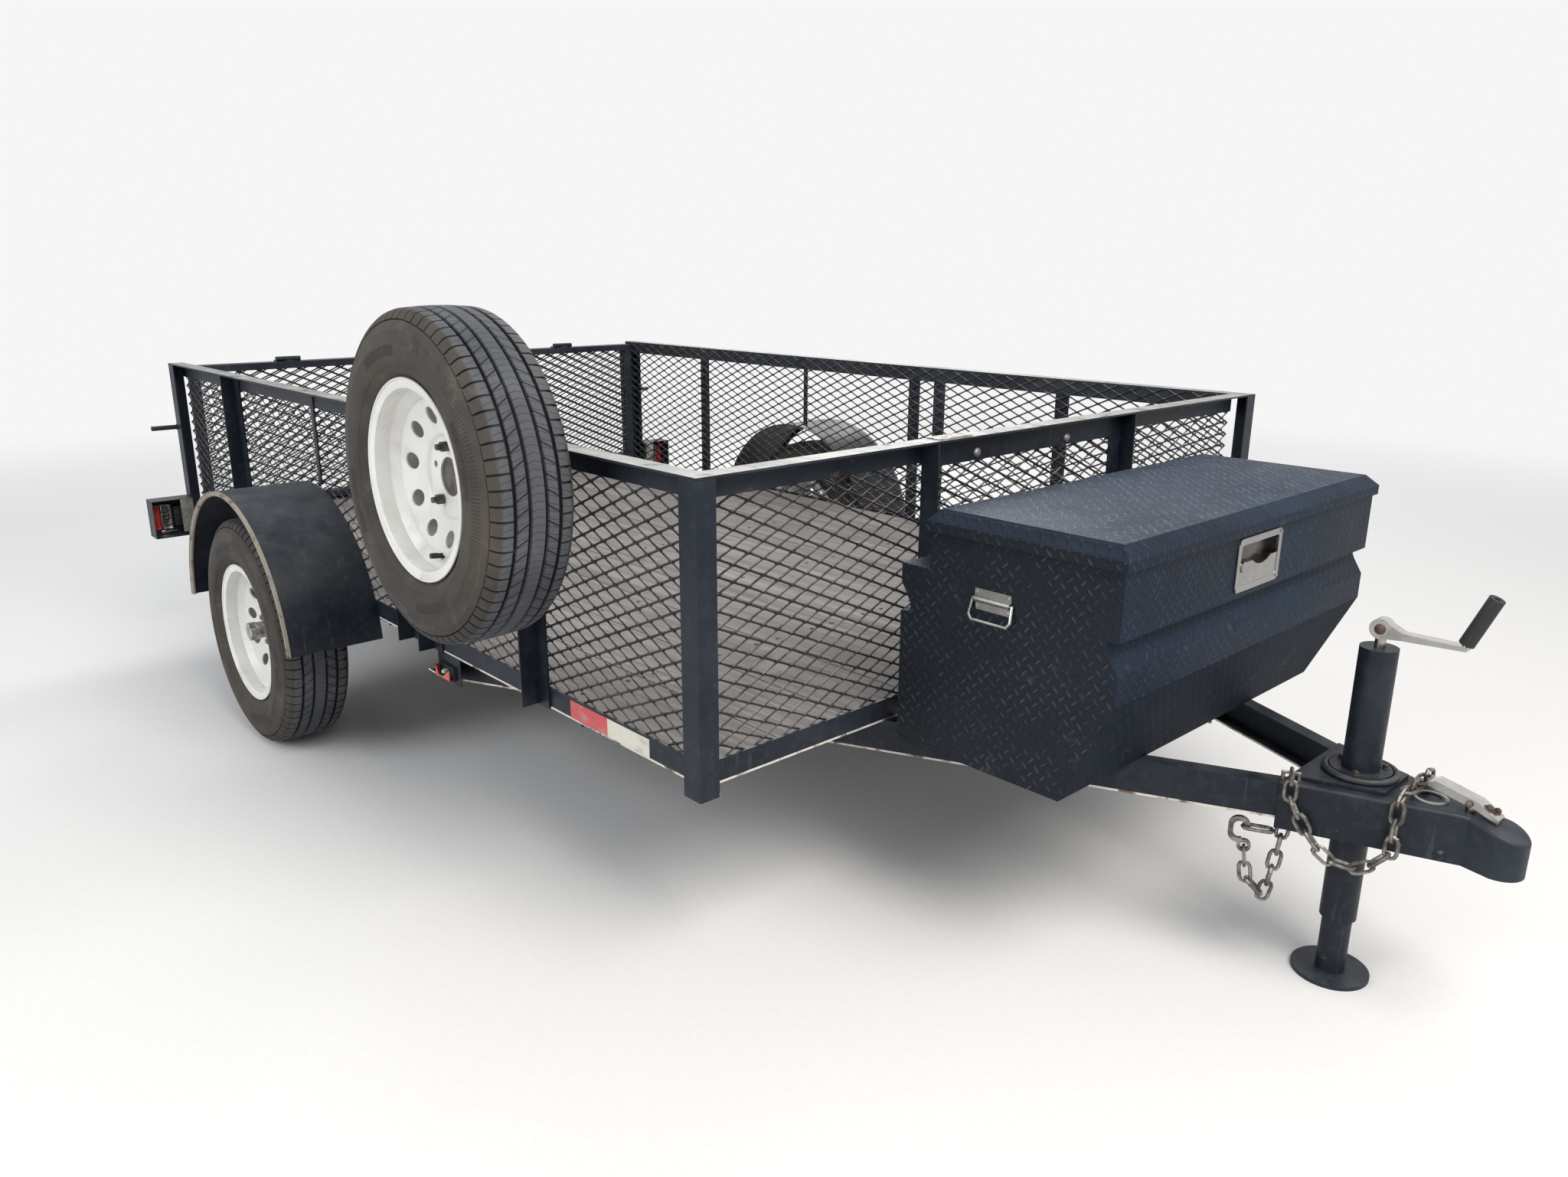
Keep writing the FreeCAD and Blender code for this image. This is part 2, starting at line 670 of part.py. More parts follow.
def chain_link(inside=CHAIN_PITCH):
    """One link of round wire, drawn six-sided, in the XY plane with its middle at the origin."""
    reach = (inside + CHAIN_SLACK) / 2 + CHAIN_WIRE_R - CHAIN_BEND
    points = []
    for end in (1, -1):
        for step in range(5):
            at = math.radians(45 * step - 90)
            points.append(V(end * (reach + CHAIN_BEND * math.cos(at)), end * CHAIN_BEND * math.sin(at), 0))
    return mitred_bar(points, CHAIN_WIRE_R, 6, True)


def placed_link(link, middle, way, flat):
    """A link with its middle at a point, its long way and the direction its flat side faces."""
    piece = link.copy()
    piece.Placement = FreeCAD.Placement(middle, FreeCAD.Rotation(way, flat.cross(way), flat, "XZY"))
    return piece


def chain_steps(count, flat_first):
    """How far apart the pivots lie: a link flat in the bending plane turns about its own bends' centres."""
    length = CHAIN_PITCH + CHAIN_SLACK + 2 * CHAIN_WIRE_R
    flat = length - 2 * CHAIN_BEND
    edge = length + 2 * CHAIN_PLAY
    return [flat if (i % 2 == 0) == flat_first else edge for i in range(count)]


def chain(pivots, normal, flat_first):
    """Links through one another along pivots in one plane, every other one turned a quarter."""
    link = chain_link()
    links = []
    for i, (start, end) in enumerate(zip(pivots, pivots[1:])):
        way = (end - start).normalize()
        facing = normal if (i % 2 == 0) == flat_first else way.cross(normal)
        links.append(placed_link(link, (start + end) / 2, way, facing))
    return links


def staple(foot, across, up, height):
    """A welded wire loop on a flat face, for a chain's end link to hang in."""
    half = CHAIN_WIDTH / 2
    seat = foot + up * WELD_GAP
    return mitred_bar([seat - across * half, seat - across * half + up * height,
                       seat + across * half + up * height, seat + across * half], CHAIN_WIRE_R)


def grab_hook(middle, way, across):
    """The flat hook: a long C open to one side with an eye under it."""
    wide = HOOK_OUT
    thin = HOOK_OUT - HOOK_BAR
    top = V(0, 0, HOOK_BACK / 2)
    low = V(0, 0, -HOOK_BACK / 2)

    def arc(centre, radius, start, finish):
        spots = [centre + V(radius * math.cos(math.radians(a)), 0, radius * math.sin(math.radians(a)))
                 for a in (start, (start + finish) / 2, finish)]
        return Part.Arc(*spots).toShape()

    arcs = [arc(top, wide, 0, 180), arc(low, wide, 180, HOOK_END), arc(low, thin, HOOK_END, 180),
            arc(top, thin, 180, 0)]
    tip = [V(thin, 0, HOOK_BACK / 2), V(thin + 2, 0, HOOK_BACK / 2 - 7), V(wide - 2, 0, HOOK_BACK / 2 - 7),
           V(wide, 0, HOOK_BACK / 2)]
    ends = [[arcs[0].Vertexes[-1].Point, arcs[1].Vertexes[0].Point],
            [arcs[1].Vertexes[-1].Point, arcs[2].Vertexes[0].Point],
            [arcs[2].Vertexes[-1].Point, arcs[3].Vertexes[0].Point], tip]
    edges = []
    for curve, line in zip(arcs, ends):
        edges.append(curve)
        edges += [Part.makeLine(a, b) for a, b in zip(line, line[1:])]
    body = Part.Face(Part.Wire(edges)).extrude(V(0, HOOK_T, 0))
    eye = V(HOOK_EYE_X, 0, HOOK_EYE_Z)
    boss = Part.makeCylinder(HOOK_EYE_R, HOOK_T, eye, V(0, 1, 0))
    hole = Part.makeCylinder(HOOK_HOLE_R, HOOK_T + 2, eye - V(0, 1, 0), V(0, 1, 0))
    hook = fused([body, boss]).cut(hole)
    hook.translate(V(0, -HOOK_T / 2, 0))
    hook.Placement = FreeCAD.Placement(middle, FreeCAD.Rotation(way, across, V(0, 0, 1), "XZY")).multiply(
        hook.Placement)
    return hook


def safety_chains():
    """Two chains on the tongue: one slack under the coupler and laid over it, one hooked up to itself."""
    half = CHAIN_WIDTH / 2
    length = CHAIN_PITCH + CHAIN_SLACK + 2 * CHAIN_WIRE_R
    turn = math.radians(TONGUE_ANGLE)
    way = V(math.cos(turn), math.sin(turn), 0)
    across = V(-math.sin(turn), math.cos(turn), 0)
    up = V(0, 0, 1)
    top = BEAM_TOP + COUPLER_T
    link = chain_link()

    def on_beam(x, inset, z):
        return V(x, -tongue_half_width(x), z) + across * inset

    # The slack chain: its first link lies over the coupler's edge, the next hangs down its flank
    foot = on_beam(COUPLER_REAR + STAPLE_BACK, STAPLE_INSET, top)
    bar = foot + up * (WELD_GAP + half + STAPLE_PROUD)
    out = across * -1
    reach = (FIRST_LINK + CHAIN_SLACK) / 2 + CHAIN_WIRE_R
    first = bar + out * (reach - 2 * CHAIN_WIRE_R - CHAIN_SLACK / 2)
    bend = first + out * (reach - CHAIN_BEND)
    second = bend - up * (CHAIN_PLAY + length / 2)
    start = second - up * (length / 2 - CHAIN_BEND)
    wall = coupler_half_width(RUN_X) + half + RUN_GAP
    riser = V(RUN_X, -wall, RUN_Z)
    finish = riser - up * (length / 2 - CHAIN_BEND)
    side = (finish - start).cross(up).normalize()
    solids = [staple(foot, way, up, half + STAPLE_PROUD), placed_link(chain_link(FIRST_LINK), first, out, way),
              placed_link(link, second, up, side)]
    solids += chain(hung(start, finish, chain_steps(SLACK_LINKS, False)), side, False)
    solids.append(placed_link(link, riser, up, (side - V(0, 1, 0)).normalize()))

    # The same chain's end, laid over the coupler's top and hanging down its far flank
    crest = top + half + WELD_GAP
    route = [(-wall, RUN_Z + length / 2 + CHAIN_PLAY), (-wall, top + 7), (-wall + 16, crest + 7),
             (-wall + 66, crest + 1), (wall - 44, crest + 1), (wall - 16, crest + 11), (wall + 3, top - 10),
             (wall, NOSE_LOW - 60)]
    solids += chain(paced([V(RUN_X, y, z) for y, z in route], chain_steps(DRAPE_LINKS, True)), V(1, 0, 0), True)

    # The other chain: hung under the beam, its hook holding a long link beside the first
    hang = on_beam(COUPLER_REAR + STAPLE_BACK, CHANNEL_FLANGE / 2, BEAM_LOW)
    solids.append(staple(hang, across, up * -1, half))
    start = hang - up * (WELD_GAP + half + CHAIN_PLAY)
    hook = hang - way * HOOK_BACKWARD - up * HOOK_DROP
    eye = hook + way * HOOK_EYE_X + up * HOOK_EYE_Z
    solids += chain(hung(start, eye + up * 1.2, chain_steps(HANG_LINKS, True)), across, True)
    solids.append(grab_hook(hook, way, across))
    clevis = (CLEVIS_LENGTH + CHAIN_SLACK) / 2 + CHAIN_WIRE_R
    throat = hook + way * (HOOK_OUT - HOOK_BAR - CHAIN_WIRE_R - CHAIN_SLACK + clevis) + up * (HOOK_BACK / 2)
    solids.append(placed_link(chain_link(CLEVIS_LENGTH), throat, way, up))
    return solids


def jack_tube():
    """The jack's outer tube and the three-bolt plate that sits on the tongue."""
    body = tube(V(JACK_X, 0, JACK_LOW), V(JACK_X, 0, JACK_TOP), JACK_R, JACK_R - JACK_WALL)
    cap = tube(V(JACK_X, 0, JACK_TOP - 6), V(JACK_X, 0, JACK_TOP), JACK_R - JACK_WALL / 2,
               SCREW_R + RUN_CLEARANCE)
    guide = tube(V(JACK_X, 0, JACK_LOW), V(JACK_X, 0, JACK_LOW + JACK_GUIDE), JACK_R - JACK_WALL / 2,
                 RAM_R + GUIDE_CLEARANCE)
    plate_z = BEAM_TOP + COUPLER_T
    plate = along_z([(JACK_X - 78, -112), (JACK_X + 70, -60), (JACK_X + 70, 60), (JACK_X - 78, 112)],
                    plate_z, plate_z + 8)
    plate = plate.cut(rod(V(JACK_X, 0, plate_z - 1), V(JACK_X, 0, plate_z + 9), JACK_R - JACK_WALL))
    collar = tube(V(JACK_X, 0, plate_z + 8), V(JACK_X, 0, plate_z + 8 + JACK_COLLAR), JACK_COLLAR_R,
                  JACK_R - JACK_WALL / 2)
    return fused([body, cap, guide, plate, collar])


def jack_ram():
    """The drop leg and its round foot."""
    leg = tube(V(JACK_X, 0, FOOT_T), V(JACK_X, 0, RAM_TOP), RAM_R, RAM_R - RAM_WALL)
    foot = rod(V(JACK_X, 0, 0), V(JACK_X, 0, FOOT_T), FOOT_R)
    return fused([leg, foot])


def jack_crank():
    """The chromed crank: a pinned head on the screw, an arm and the grip's spindle."""
    screw = rod(V(JACK_X, 0, JACK_TOP - 30), V(JACK_X, 0, CRANK_Z + 18), SCREW_R)
    head = rod(V(JACK_X, -13, CRANK_Z + 8), V(JACK_X, 13, CRANK_Z + 8), 20)
    arm = along_y([(JACK_X + 6, CRANK_Z - 10), (JACK_X + 40, CRANK_Z - 6), (JACK_X + CRANK_ARM, CRANK_Z),
                   (JACK_X + CRANK_ARM, CRANK_Z + 8), (JACK_X + 40, CRANK_Z + 8), (JACK_X + 6, CRANK_Z + 24)],
                  -13, 13)
    base, tip = grip_axis()
    spindle = rod(base, tip, 6)
    return fused([screw, head, arm, spindle])


def grip_axis():
    """The crank grip's two ends."""
    lean = math.radians(GRIP_LEAN)
    base = V(JACK_X + CRANK_ARM - 8, 0, CRANK_Z + 4)
    tip = base.add(V(GRIP_LENGTH * math.sin(lean), 0, GRIP_LENGTH * math.cos(lean)))
    return base, tip


def jack_grip():
    """The black sleeve on the crank's spindle."""
    base, tip = grip_axis()
    way = tip.sub(base).normalize()
    start = base.add(way * 8)
    return tube(start, start.add(way * (GRIP_LENGTH - 4)), GRIP_R, 6)


def box_outline(inset):
    """The toolbox seen from its end: a stepped back, sloped toe and a bead in each long face."""
    i = inset
    rear = BOX_REAR + i
    front = BOX_FRONT - i
    step = BOX_REAR + BOX_STEP + i
    bead = [(u + i * lean_u, v + i * lean_v) for u, v, lean_u, lean_v in BEAD]
    return ([(rear, BOX_LOW + i), (front - BOX_TOE - i * 0.2, BOX_LOW + i), (front, BOX_SLOPE_Z)]
            + [(BOX_FRONT - u, BEAD_Z + v) for u, v in bead]
            + [(front, BOX_TOP), (step, BOX_TOP), (step, BOX_STEP_Z - i), (rear, BOX_STEP_Z - i)]
            + [(BOX_REAR + u, BEAD_Z - v) for u, v in bead])


def toolbox_body():
    """The box's back, floor, toe and front, bent from one sheet and open at the top."""
    reach = BOX_Y - BOX_SHEET - WELD_GAP
    outer = along_y(box_outline(0), -reach, reach)
    inner = [(x, z + (5 if z == BOX_TOP else 0)) for x, z in box_outline(BOX_SHEET)]
    opening = rounded_slab(BOX_FRONT - 2 * BOX_SHEET, BOX_FRONT + 1, PADDLE_RIM - WELD_GAP)
    return outer.cut(along_y(inner, -reach, reach)).cut(opening)


def toolbox_ends():
    """The plates welded on the box's two ends."""
    return both_sides(along_y(box_outline(0), BOX_Y - BOX_SHEET, BOX_Y))


def rounded_slab(x0, x1, inset):
    """A slab with round corners behind the paddle latch's outline, drawn in by an inset."""
    half_y = PADDLE_WIDTH / 2 - inset
    half_z = PADDLE_HEIGHT / 2 - inset
    slab = block(x0, x1, PADDLE_Y - half_y, PADDLE_Y + half_y, PADDLE_Z - half_z, PADDLE_Z + half_z)
    corners = [e for e in slab.Edges if abs(e.tangentAt(e.FirstParameter).x) > 0.9]
    return slab.makeFillet(PADDLE_CORNER - inset / 2, corners)


def toolbox_latch():
    """The latch in the box's front: a rimmed tray with its paddle and key lock."""
    face = BOX_FRONT + WELD_GAP
    proud = BOX_FRONT + PADDLE_PROUD
    back = BOX_FRONT - PADDLE_DEEP
    t = PADDLE_SHEET
    frame = rounded_slab(face, proud, 0)
    tray = rounded_slab(back, proud, PADDLE_RIM)
    hollow = rounded_slab(back + t, proud + 1, PADDLE_RIM + t)
    shell = fused([frame, tray]).cut(hollow)
    half = PADDLE_WIDTH / 2 - PADDLE_RIM - t / 2
    low = PADDLE_Z - PADDLE_HEIGHT / 2 + PADDLE_RIM + t / 2
    paddle = block(back + t / 2, proud - 1, PADDLE_Y - half, PADDLE_Y + half, low, PADDLE_Z + 4)
    thumb = rod(V(back, PADDLE_Y + 12, PADDLE_Z + THUMB_RISE), V(proud, PADDLE_Y + 12, PADDLE_Z + THUMB_RISE),
                THUMB_R)
    lock = rod(V(back, PADDLE_Y - LOCK_OFFSET, PADDLE_Z - 4), V(proud + t, PADDLE_Y - LOCK_OFFSET, PADDLE_Z - 4),
               LOCK_R)
    paddle = paddle.common(rounded_slab(back, proud, PADDLE_RIM + t / 2))
    return fused([shell, paddle.cut(thumb), lock])


def toolbox_handles():
    """The drop handle on each end: a plate rolled round its bail."""
    face = BOX_Y + WELD_GAP
    half = HANDLE_WIDTH / 2
    roll = BAIL_R + HANDLE_SHEET + 1.0
    plate = block(HANDLE_X - half, HANDLE_X + half, face, face + HANDLE_SHEET,
                  HANDLE_Z - HANDLE_PLATE / 2, HANDLE_Z + HANDLE_PLATE / 2)
    middle = V(HANDLE_X, face + roll - HANDLE_SHEET, HANDLE_Z)
    ends = (middle - V(half, 0, 0), middle + V(half, 0, 0))
    barrel = rod(ends[0], ends[1], roll).common(block(0, BOX_FRONT, face, face + 2 * roll, 0, LID_TOP))
    bore = rod(ends[0] - V(1, 0, 0), ends[1] + V(1, 0, 0), BAIL_R + WELD_GAP)
    plate = fused([plate, barrel]).cut(bore)
    bail = []
    for x, drop, out in ((-half - 4, 0, 0), (half + 4, 0, 0), (half + 6, BAIL_DROP * 0.75, BAIL_FLARE),
                         (half - 2, BAIL_DROP, BAIL_FLARE + 2), (2 - half, BAIL_DROP, BAIL_FLARE + 2),
                         (-half - 6, BAIL_DROP * 0.75, BAIL_FLARE)):
        bail.append(middle + V(x, out, -drop))
    return both_sides(plate) + both_sides(mitred_bar(bail, BAIL_R, 8, True))


def toolbox_lid():
    """The lid: a bevelled tray turned over the box's rim."""
    x0 = LID_REAR
    x1 = BOX_FRONT + LID_PLAY + BOX_SHEET
    half = BOX_Y + LID_PLAY + BOX_SHEET
    low = LID_TOP - LID_SKIRT
    tray = block(x0, x1, -half, half, low, LID_TOP)
    rim = [e for e in tray.Edges if abs(e.CenterOfMass.z - LID_TOP) < 0.01]
    tray = tray.makeChamfer(LID_BEVEL, rim)
    i = BOX_SHEET
    hollow = block(x0 + i, x1 - i, -half + i, half - i, low - 1, LID_TOP - i)
    rim = [e for e in hollow.Edges if abs(e.CenterOfMass.z - LID_TOP + i) < 0.01]
    pieces = [tray.cut(hollow.makeChamfer(LID_BEVEL, rim))]
    for middle in LID_HINGE_Y:
        pieces.append(lid_knuckle(middle, LID_KNUCKLE / 2))
    bore = rod(V(LID_HINGE_X, -half, LID_HINGE_Z), V(LID_HINGE_X, half, LID_HINGE_Z), LID_PIN_R + RUN_CLEARANCE)
    slots = []
    for middle in LID_HINGE_Y:
        for end in (-1, 1):
            at = middle + end * LID_KNUCKLE
            reach = LID_KNUCKLE / 2 + 1.0
            slots.append(block(x0 - 1, x0 + BOX_SHEET + 1, at - reach, at + reach, low - 1, low + LID_KNUCKLE_R + 3))
    return fused(pieces).cut(bore).cut(Part.makeCompound(slots))


def lid_knuckle(middle, half):
    """A length of the lid hinge's barrel."""
    return rod(V(LID_HINGE_X, middle - half, LID_HINGE_Z), V(LID_HINGE_X, middle + half, LID_HINGE_Z), LID_KNUCKLE_R)


def toolbox_hinge():
    """The hinge leaves on the box's back with their knuckles and pins."""
    solids = []
    wall = BOX_REAR + BOX_STEP
    for middle in LID_HINGE_Y:
        pin = rod(V(LID_HINGE_X, middle - 1.45 * LID_KNUCKLE, LID_HINGE_Z),
                  V(LID_HINGE_X, middle + 1.45 * LID_KNUCKLE, LID_HINGE_Z), LID_PIN_R)
        pieces = [pin]
        for end in (-1, 1):
            at = middle + end * LID_KNUCKLE
            half = LID_KNUCKLE / 2 - 1.0
            pieces.append(lid_knuckle(at, half))
            pieces.append(block(wall - 2.3, wall - WELD_GAP, at - half, at + half,
                                LID_HINGE_Z - 26, LID_HINGE_Z + 2))
        solids.append(fused(pieces))
    return solids


def wheel_centre(side):
    """The middle of a road wheel."""
    return V(AXLE_X, side * WHEEL_Y, AXLE_Z)


def rim(centre, side):
    """A pressed steel wheel, its dished face outward on the given side."""
    half = RIM_WIDTH / 2
    t = RIM_SHEET
    barrel = [(-half, RIM_FLANGE_R), (-half + t, RIM_FLANGE_R), (-half + t, RIM_SEAT_R), (-half + 26, RIM_SEAT_R),
              (-half + 40, RIM_WELL_R), (half - 58, RIM_WELL_R), (half - 44, RIM_SEAT_R), (half - t, RIM_SEAT_R),
              (half - t, RIM_FLANGE_R), (half, RIM_FLANGE_R), (half, RIM_SEAT_R - t), (half - 42, RIM_SEAT_R - t),
              (half - 56, RIM_WELL_R - t), (-half + 38, RIM_WELL_R - t), (-half + 24, RIM_SEAT_R - t),
              (-half, RIM_SEAT_R - t)]
    disc = [(0, PILOT_R), (0, LUG_CIRCLE_R + 22), (20, LUG_CIRCLE_R + 36), (26, VENT_CIRCLE_R - 10),
            (10, RIM_WELL_R - t - 8), (-6, RIM_WELL_R - t), (-6 - t, RIM_WELL_R - t), (5, RIM_WELL_R - t - 12),
            (20, VENT_CIRCLE_R - 8), (14, LUG_CIRCLE_R + 38), (-t, LUG_CIRCLE_R + 26), (-t, PILOT_R)]
    wheel = fused([ring_about_y([(y * side, r) for y, r in barrel], centre),
                   ring_about_y([(y * side + t * side, r) for y, r in disc], centre)])
    holes = [(LUG_CIRCLE_R, LUG_COUNT, LUG_HOLE_R, 90.0), (VENT_CIRCLE_R, VENT_COUNT, VENT_R, 105.0)]
    for circle, count, radius, start in holes:
        for i in range(count):
            at = math.radians(start + 360.0 * i / count)
            hub = centre.add(V(circle * math.cos(at), 0, circle * math.sin(at)))
            wheel = wheel.cut(rod(hub.add(V(0, -60, 0)), hub.add(V(0, 60, 0)), radius))
    return wheel


def tyre(centre):
    """A closed tyre: beads on the rim's seats, bulged walls and a rounded tread."""
    half = TYRE_WIDTH / 2
    bead = RIM_WIDTH / 2 - RIM_SHEET - WELD_GAP
    seat = RIM_SEAT_R + WELD_GAP
    crown = TYRE_R
    right = [(bead, seat), (bead, RIM_FLANGE_R + 1), (half - 12, RIM_FLANGE_R + 13), (half - 2, 240), (half, 264),
             (half - 3, 290), (half - 12, 318), (half - 22, crown - 8), (half - 34, crown - 3), (30, crown)]
    profile = right + [(-y, r) for y, r in reversed(right)]
    return ring_about_y(profile, centre)


def hub(side):
    """The turning hub: flange, barrel, long grease cap, studs and nuts."""
    centre = wheel_centre(side)

    def bar(y0, y1, radius):
        return rod(centre.add(V(0, side * y0, 0)), centre.add(V(0, side * y1, 0)), radius)

    body = [bar(-70, 0, HUB_R), bar(-10, 0, LUG_CIRCLE_R + 14), bar(0, 26, PILOT_R - 1.0), bar(26, CAP_OUT, CAP_R)]
    for i in range(LUG_COUNT):
        at = math.radians(90.0 + 360.0 * i / LUG_COUNT)
        offset = V(LUG_CIRCLE_R * math.cos(at), 0, LUG_CIRCLE_R * math.sin(at))
        stud = bar(-10, 24, STUD_R)
        stud.translate(offset)
        nut = hexagon_nut(centre.add(offset).add(V(0, side * RIM_SHEET, 0)), V(0, side, 0), 16)
        body += [stud, nut]
    return fused(body).cut(bar(-71, 47, SPINDLE_R + RUN_CLEARANCE))


def hexagon_nut(base, way, length):
    """A six-sided nut standing on a face."""
    points = []
    for i in range(6):
        at = math.radians(60 * i)
        points.append(base.add(V(NUT_R * math.cos(at), 0, NUT_R * math.sin(at))))
    return prism(points, way * length)


def axle():
    """The straight axle tube with a spindle in each end."""
    end = WHEEL_Y - 80.0
    beam = rod(V(AXLE_X, -end, AXLE_Z), V(AXLE_X, end, AXLE_Z), AXLE_R)
    tip = WHEEL_Y + 44.0
    spindle = rod(V(AXLE_X, -tip, AXLE_Z), V(AXLE_X, tip, AXLE_Z), SPINDLE_R)
    return fused([beam, spindle])


def leaf_spring():
    """A pack of leaves lying in concentric arcs on top of the axle, with an eye at each end."""
    low = AXLE_Z + AXLE_R + WELD_GAP
    count = len(LEAF_HALVES)
    centre_z = low + count * LEAF_T + SPRING_RADIUS
    y0 = SPRING_Y - SPRING_WIDTH / 2
    leaves = []
    for i, half in enumerate(LEAF_HALVES):
        inner = SPRING_RADIUS + i * LEAF_T
        leaves.append(arc_leaf(centre_z, inner, inner + LEAF_T, half, y0))
    swing = math.asin(SPRING_HALF / SPRING_RADIUS)
    eye_z = centre_z - SPRING_RADIUS * math.cos(swing) + EYE_R - LEAF_T
    eyes = []
    for side in (-1, 1):
        at = V(AXLE_X + side * SPRING_HALF, y0, eye_z)
        eyes.append(Part.makeCylinder(EYE_R, SPRING_WIDTH, at, V(0, 1, 0)))
    pack = fused(leaves + eyes)
    for side in (-1, 1):
        at = V(AXLE_X + side * SPRING_HALF, y0 - 1, eye_z)
        pack = pack.cut(Part.makeCylinder(PIN_R + 0.2, SPRING_WIDTH + 2, at, V(0, 1, 0)))
    return pack, eye_z


def arc_leaf(centre_z, inner, outer, half, y0):
    """One leaf: a band of a large circle, as wide as the spring."""
    def at(radius, side):
        swing = math.asin(half / SPRING_RADIUS) * side
        return V(AXLE_X + radius * math.sin(swing), y0, centre_z - radius * math.cos(swing))

    top = Part.Arc(at(inner, -1), at(inner, 0), at(inner, 1)).toShape()
    low = Part.Arc(at(outer, 1), at(outer, 0), at(outer, -1)).toShape()
    edges = [top, Part.makeLine(at(inner, 1), at(outer, 1)), low, Part.makeLine(at(outer, -1), at(inner, -1))]
    return Part.Face(Part.Wire(edges)).extrude(V(0, SPRING_WIDTH, 0))


def spring_mounts(eye_z):
    """Hangers under the rails with their pins, and the plate and U-bolts that hold the axle."""
    gap = SPRING_WIDTH / 2 + 2.0
    solids = []
    for end in (-1, 1):
        x = AXLE_X + end * SPRING_HALF
        plates = [block(x - 22, x + 22, SPRING_Y - gap - HANGER_T, SPRING_Y + gap + HANGER_T,
                        RAIL_UNDERSIDE - 5, RAIL_UNDERSIDE)]
        for side in (-1, 1):
            near = SPRING_Y + side * gap
            far = near + side * HANGER_T
            plates.append(block(x - 22, x + 22, min(near, far), max(near, far), eye_z - 20, RAIL_UNDERSIDE))
        pin = rod(V(x, SPRING_Y - gap - HANGER_T - 6, eye_z), V(x, SPRING_Y + gap + HANGER_T + 6, eye_z), PIN_R)
        solids.append(fused(plates + [pin]))
    top = AXLE_Z + AXLE_R + WELD_GAP + len(LEAF_HALVES) * LEAF_T + 1.0
    reach = AXLE_R + 6.0
    plate = block(AXLE_X - reach - 14, AXLE_X + reach + 14, SPRING_Y - gap - 16, SPRING_Y + gap + 16, top, top + 8)
    clamp = [plate]
    for side in (-1, 1):
        y = SPRING_Y + side * (gap + 7)
        turns = [math.radians(180 + 22.5 * k) for k in range(9)]
        bend = [V(AXLE_X + reach * math.cos(a), y, AXLE_Z + reach * math.sin(a)) for a in turns]
        bend = [V(AXLE_X - reach, y, top + 20)] + bend + [V(AXLE_X + reach, y, top + 20)]
        clamp.append(mitred_bar(bend, U_BOLT_R, 8))
    solids.append(fused(clamp))
    return [piece for solid in solids for piece in both_sides(solid)]


def fender(side):
    """A half-round pressed mudguard with a rolled outer lip, welded to the side rail and posts."""
    rise = math.asin((FENDER_END_Z - AXLE_Z) / FENDER_R)

    def arc_points(radius, y):
        ends = [rise, math.pi / 2, math.pi - rise]
        return [V(AXLE_X + radius * math.cos(a), y, AXLE_Z + radius * math.sin(a)) for a in ends]

    def band(outer, inner, y0, y1):
        a = arc_points(outer, y0)
        b = arc_points(inner, y0)
        edges = [Part.Arc(*a).toShape(), Part.makeLine(a[2], b[2]), Part.Arc(b[2], b[1], b[0]).toShape(),
                 Part.makeLine(b[0], a[0])]
        return Part.Face(Part.Wire(edges)).extrude(V(0, y1 - y0, 0))

    top = band(FENDER_R, FENDER_R - FENDER_T, FLANGE_Y - ANGLE_LEG + ANGLE_T + WELD_GAP, FENDER_OUT)
    turns = [math.radians(22.5 + 45 * k) for k in range(8)]
    roll = [(FENDER_OUT - FENDER_LIP_R + FENDER_LIP_R * math.cos(a),
             FENDER_R - FENDER_LIP_R + FENDER_LIP_R * math.sin(a)) for a in turns]
    lip = ring_about_y(roll, V(AXLE_X, 0, AXLE_Z))
    lip = lip.common(block(AXLE_X - 2 * FENDER_R, AXLE_X + 2 * FENDER_R, 0, 2 * FENDER_OUT, FENDER_END_Z, SIDE_TOP))
    guard = fused([top, lip])
    return guard if side > 0 else mirrored(guard)


def spare_carrier():
    """A bent bracket off the top rail whose plate holds the spare by its lug holes."""
    x = -SPARE_BACK
    y_plate = -SPARE_Y
    y_rail = -FACE_Y - WELD_GAP
    z = SPARE_Z
    plate = block(x - 80, x + 80, y_plate, y_plate + 6.0, z - 90, z + 60)
    arms = []
    for side in (-1, 1):
        at = x + side * 60
        arms.append(block(at - 4, at + 4, y_plate, y_rail, z - 60, SIDE_TOP - ANGLE_T - 2))
    studs = []
    for i in (0, 2):
        at = math.radians(90.0 + 360.0 * i / LUG_COUNT)
        spot = V(x + LUG_CIRCLE_R * math.cos(at), y_plate, z + LUG_CIRCLE_R * math.sin(at))
        studs.append(rod(spot.add(V(0, 5, 0)), spot.add(V(0, -30, 0)), STUD_R))
        studs.append(hexagon_nut(spot.add(V(0, -RIM_SHEET, 0)), V(0, -1, 0), 16))
    return fused([plate] + arms + studs)


def gate_frame(x0):
    """A rectangle of square tube with an upright in its middle."""
    x1 = x0 + GATE_TUBE
    outer = block(x0, x1, -GATE_Y, GATE_Y, GATE_LOW, GATE_HIGH)
    half = GATE_TUBE / 2
    for side in (-1, 1):
        near = side * half
        far = side * (GATE_Y - GATE_TUBE)
        outer = outer.cut(block(x0, x1, min(near, far), max(near, far), GATE_LOW + GATE_TUBE, GATE_HIGH - GATE_TUBE))
    return outer


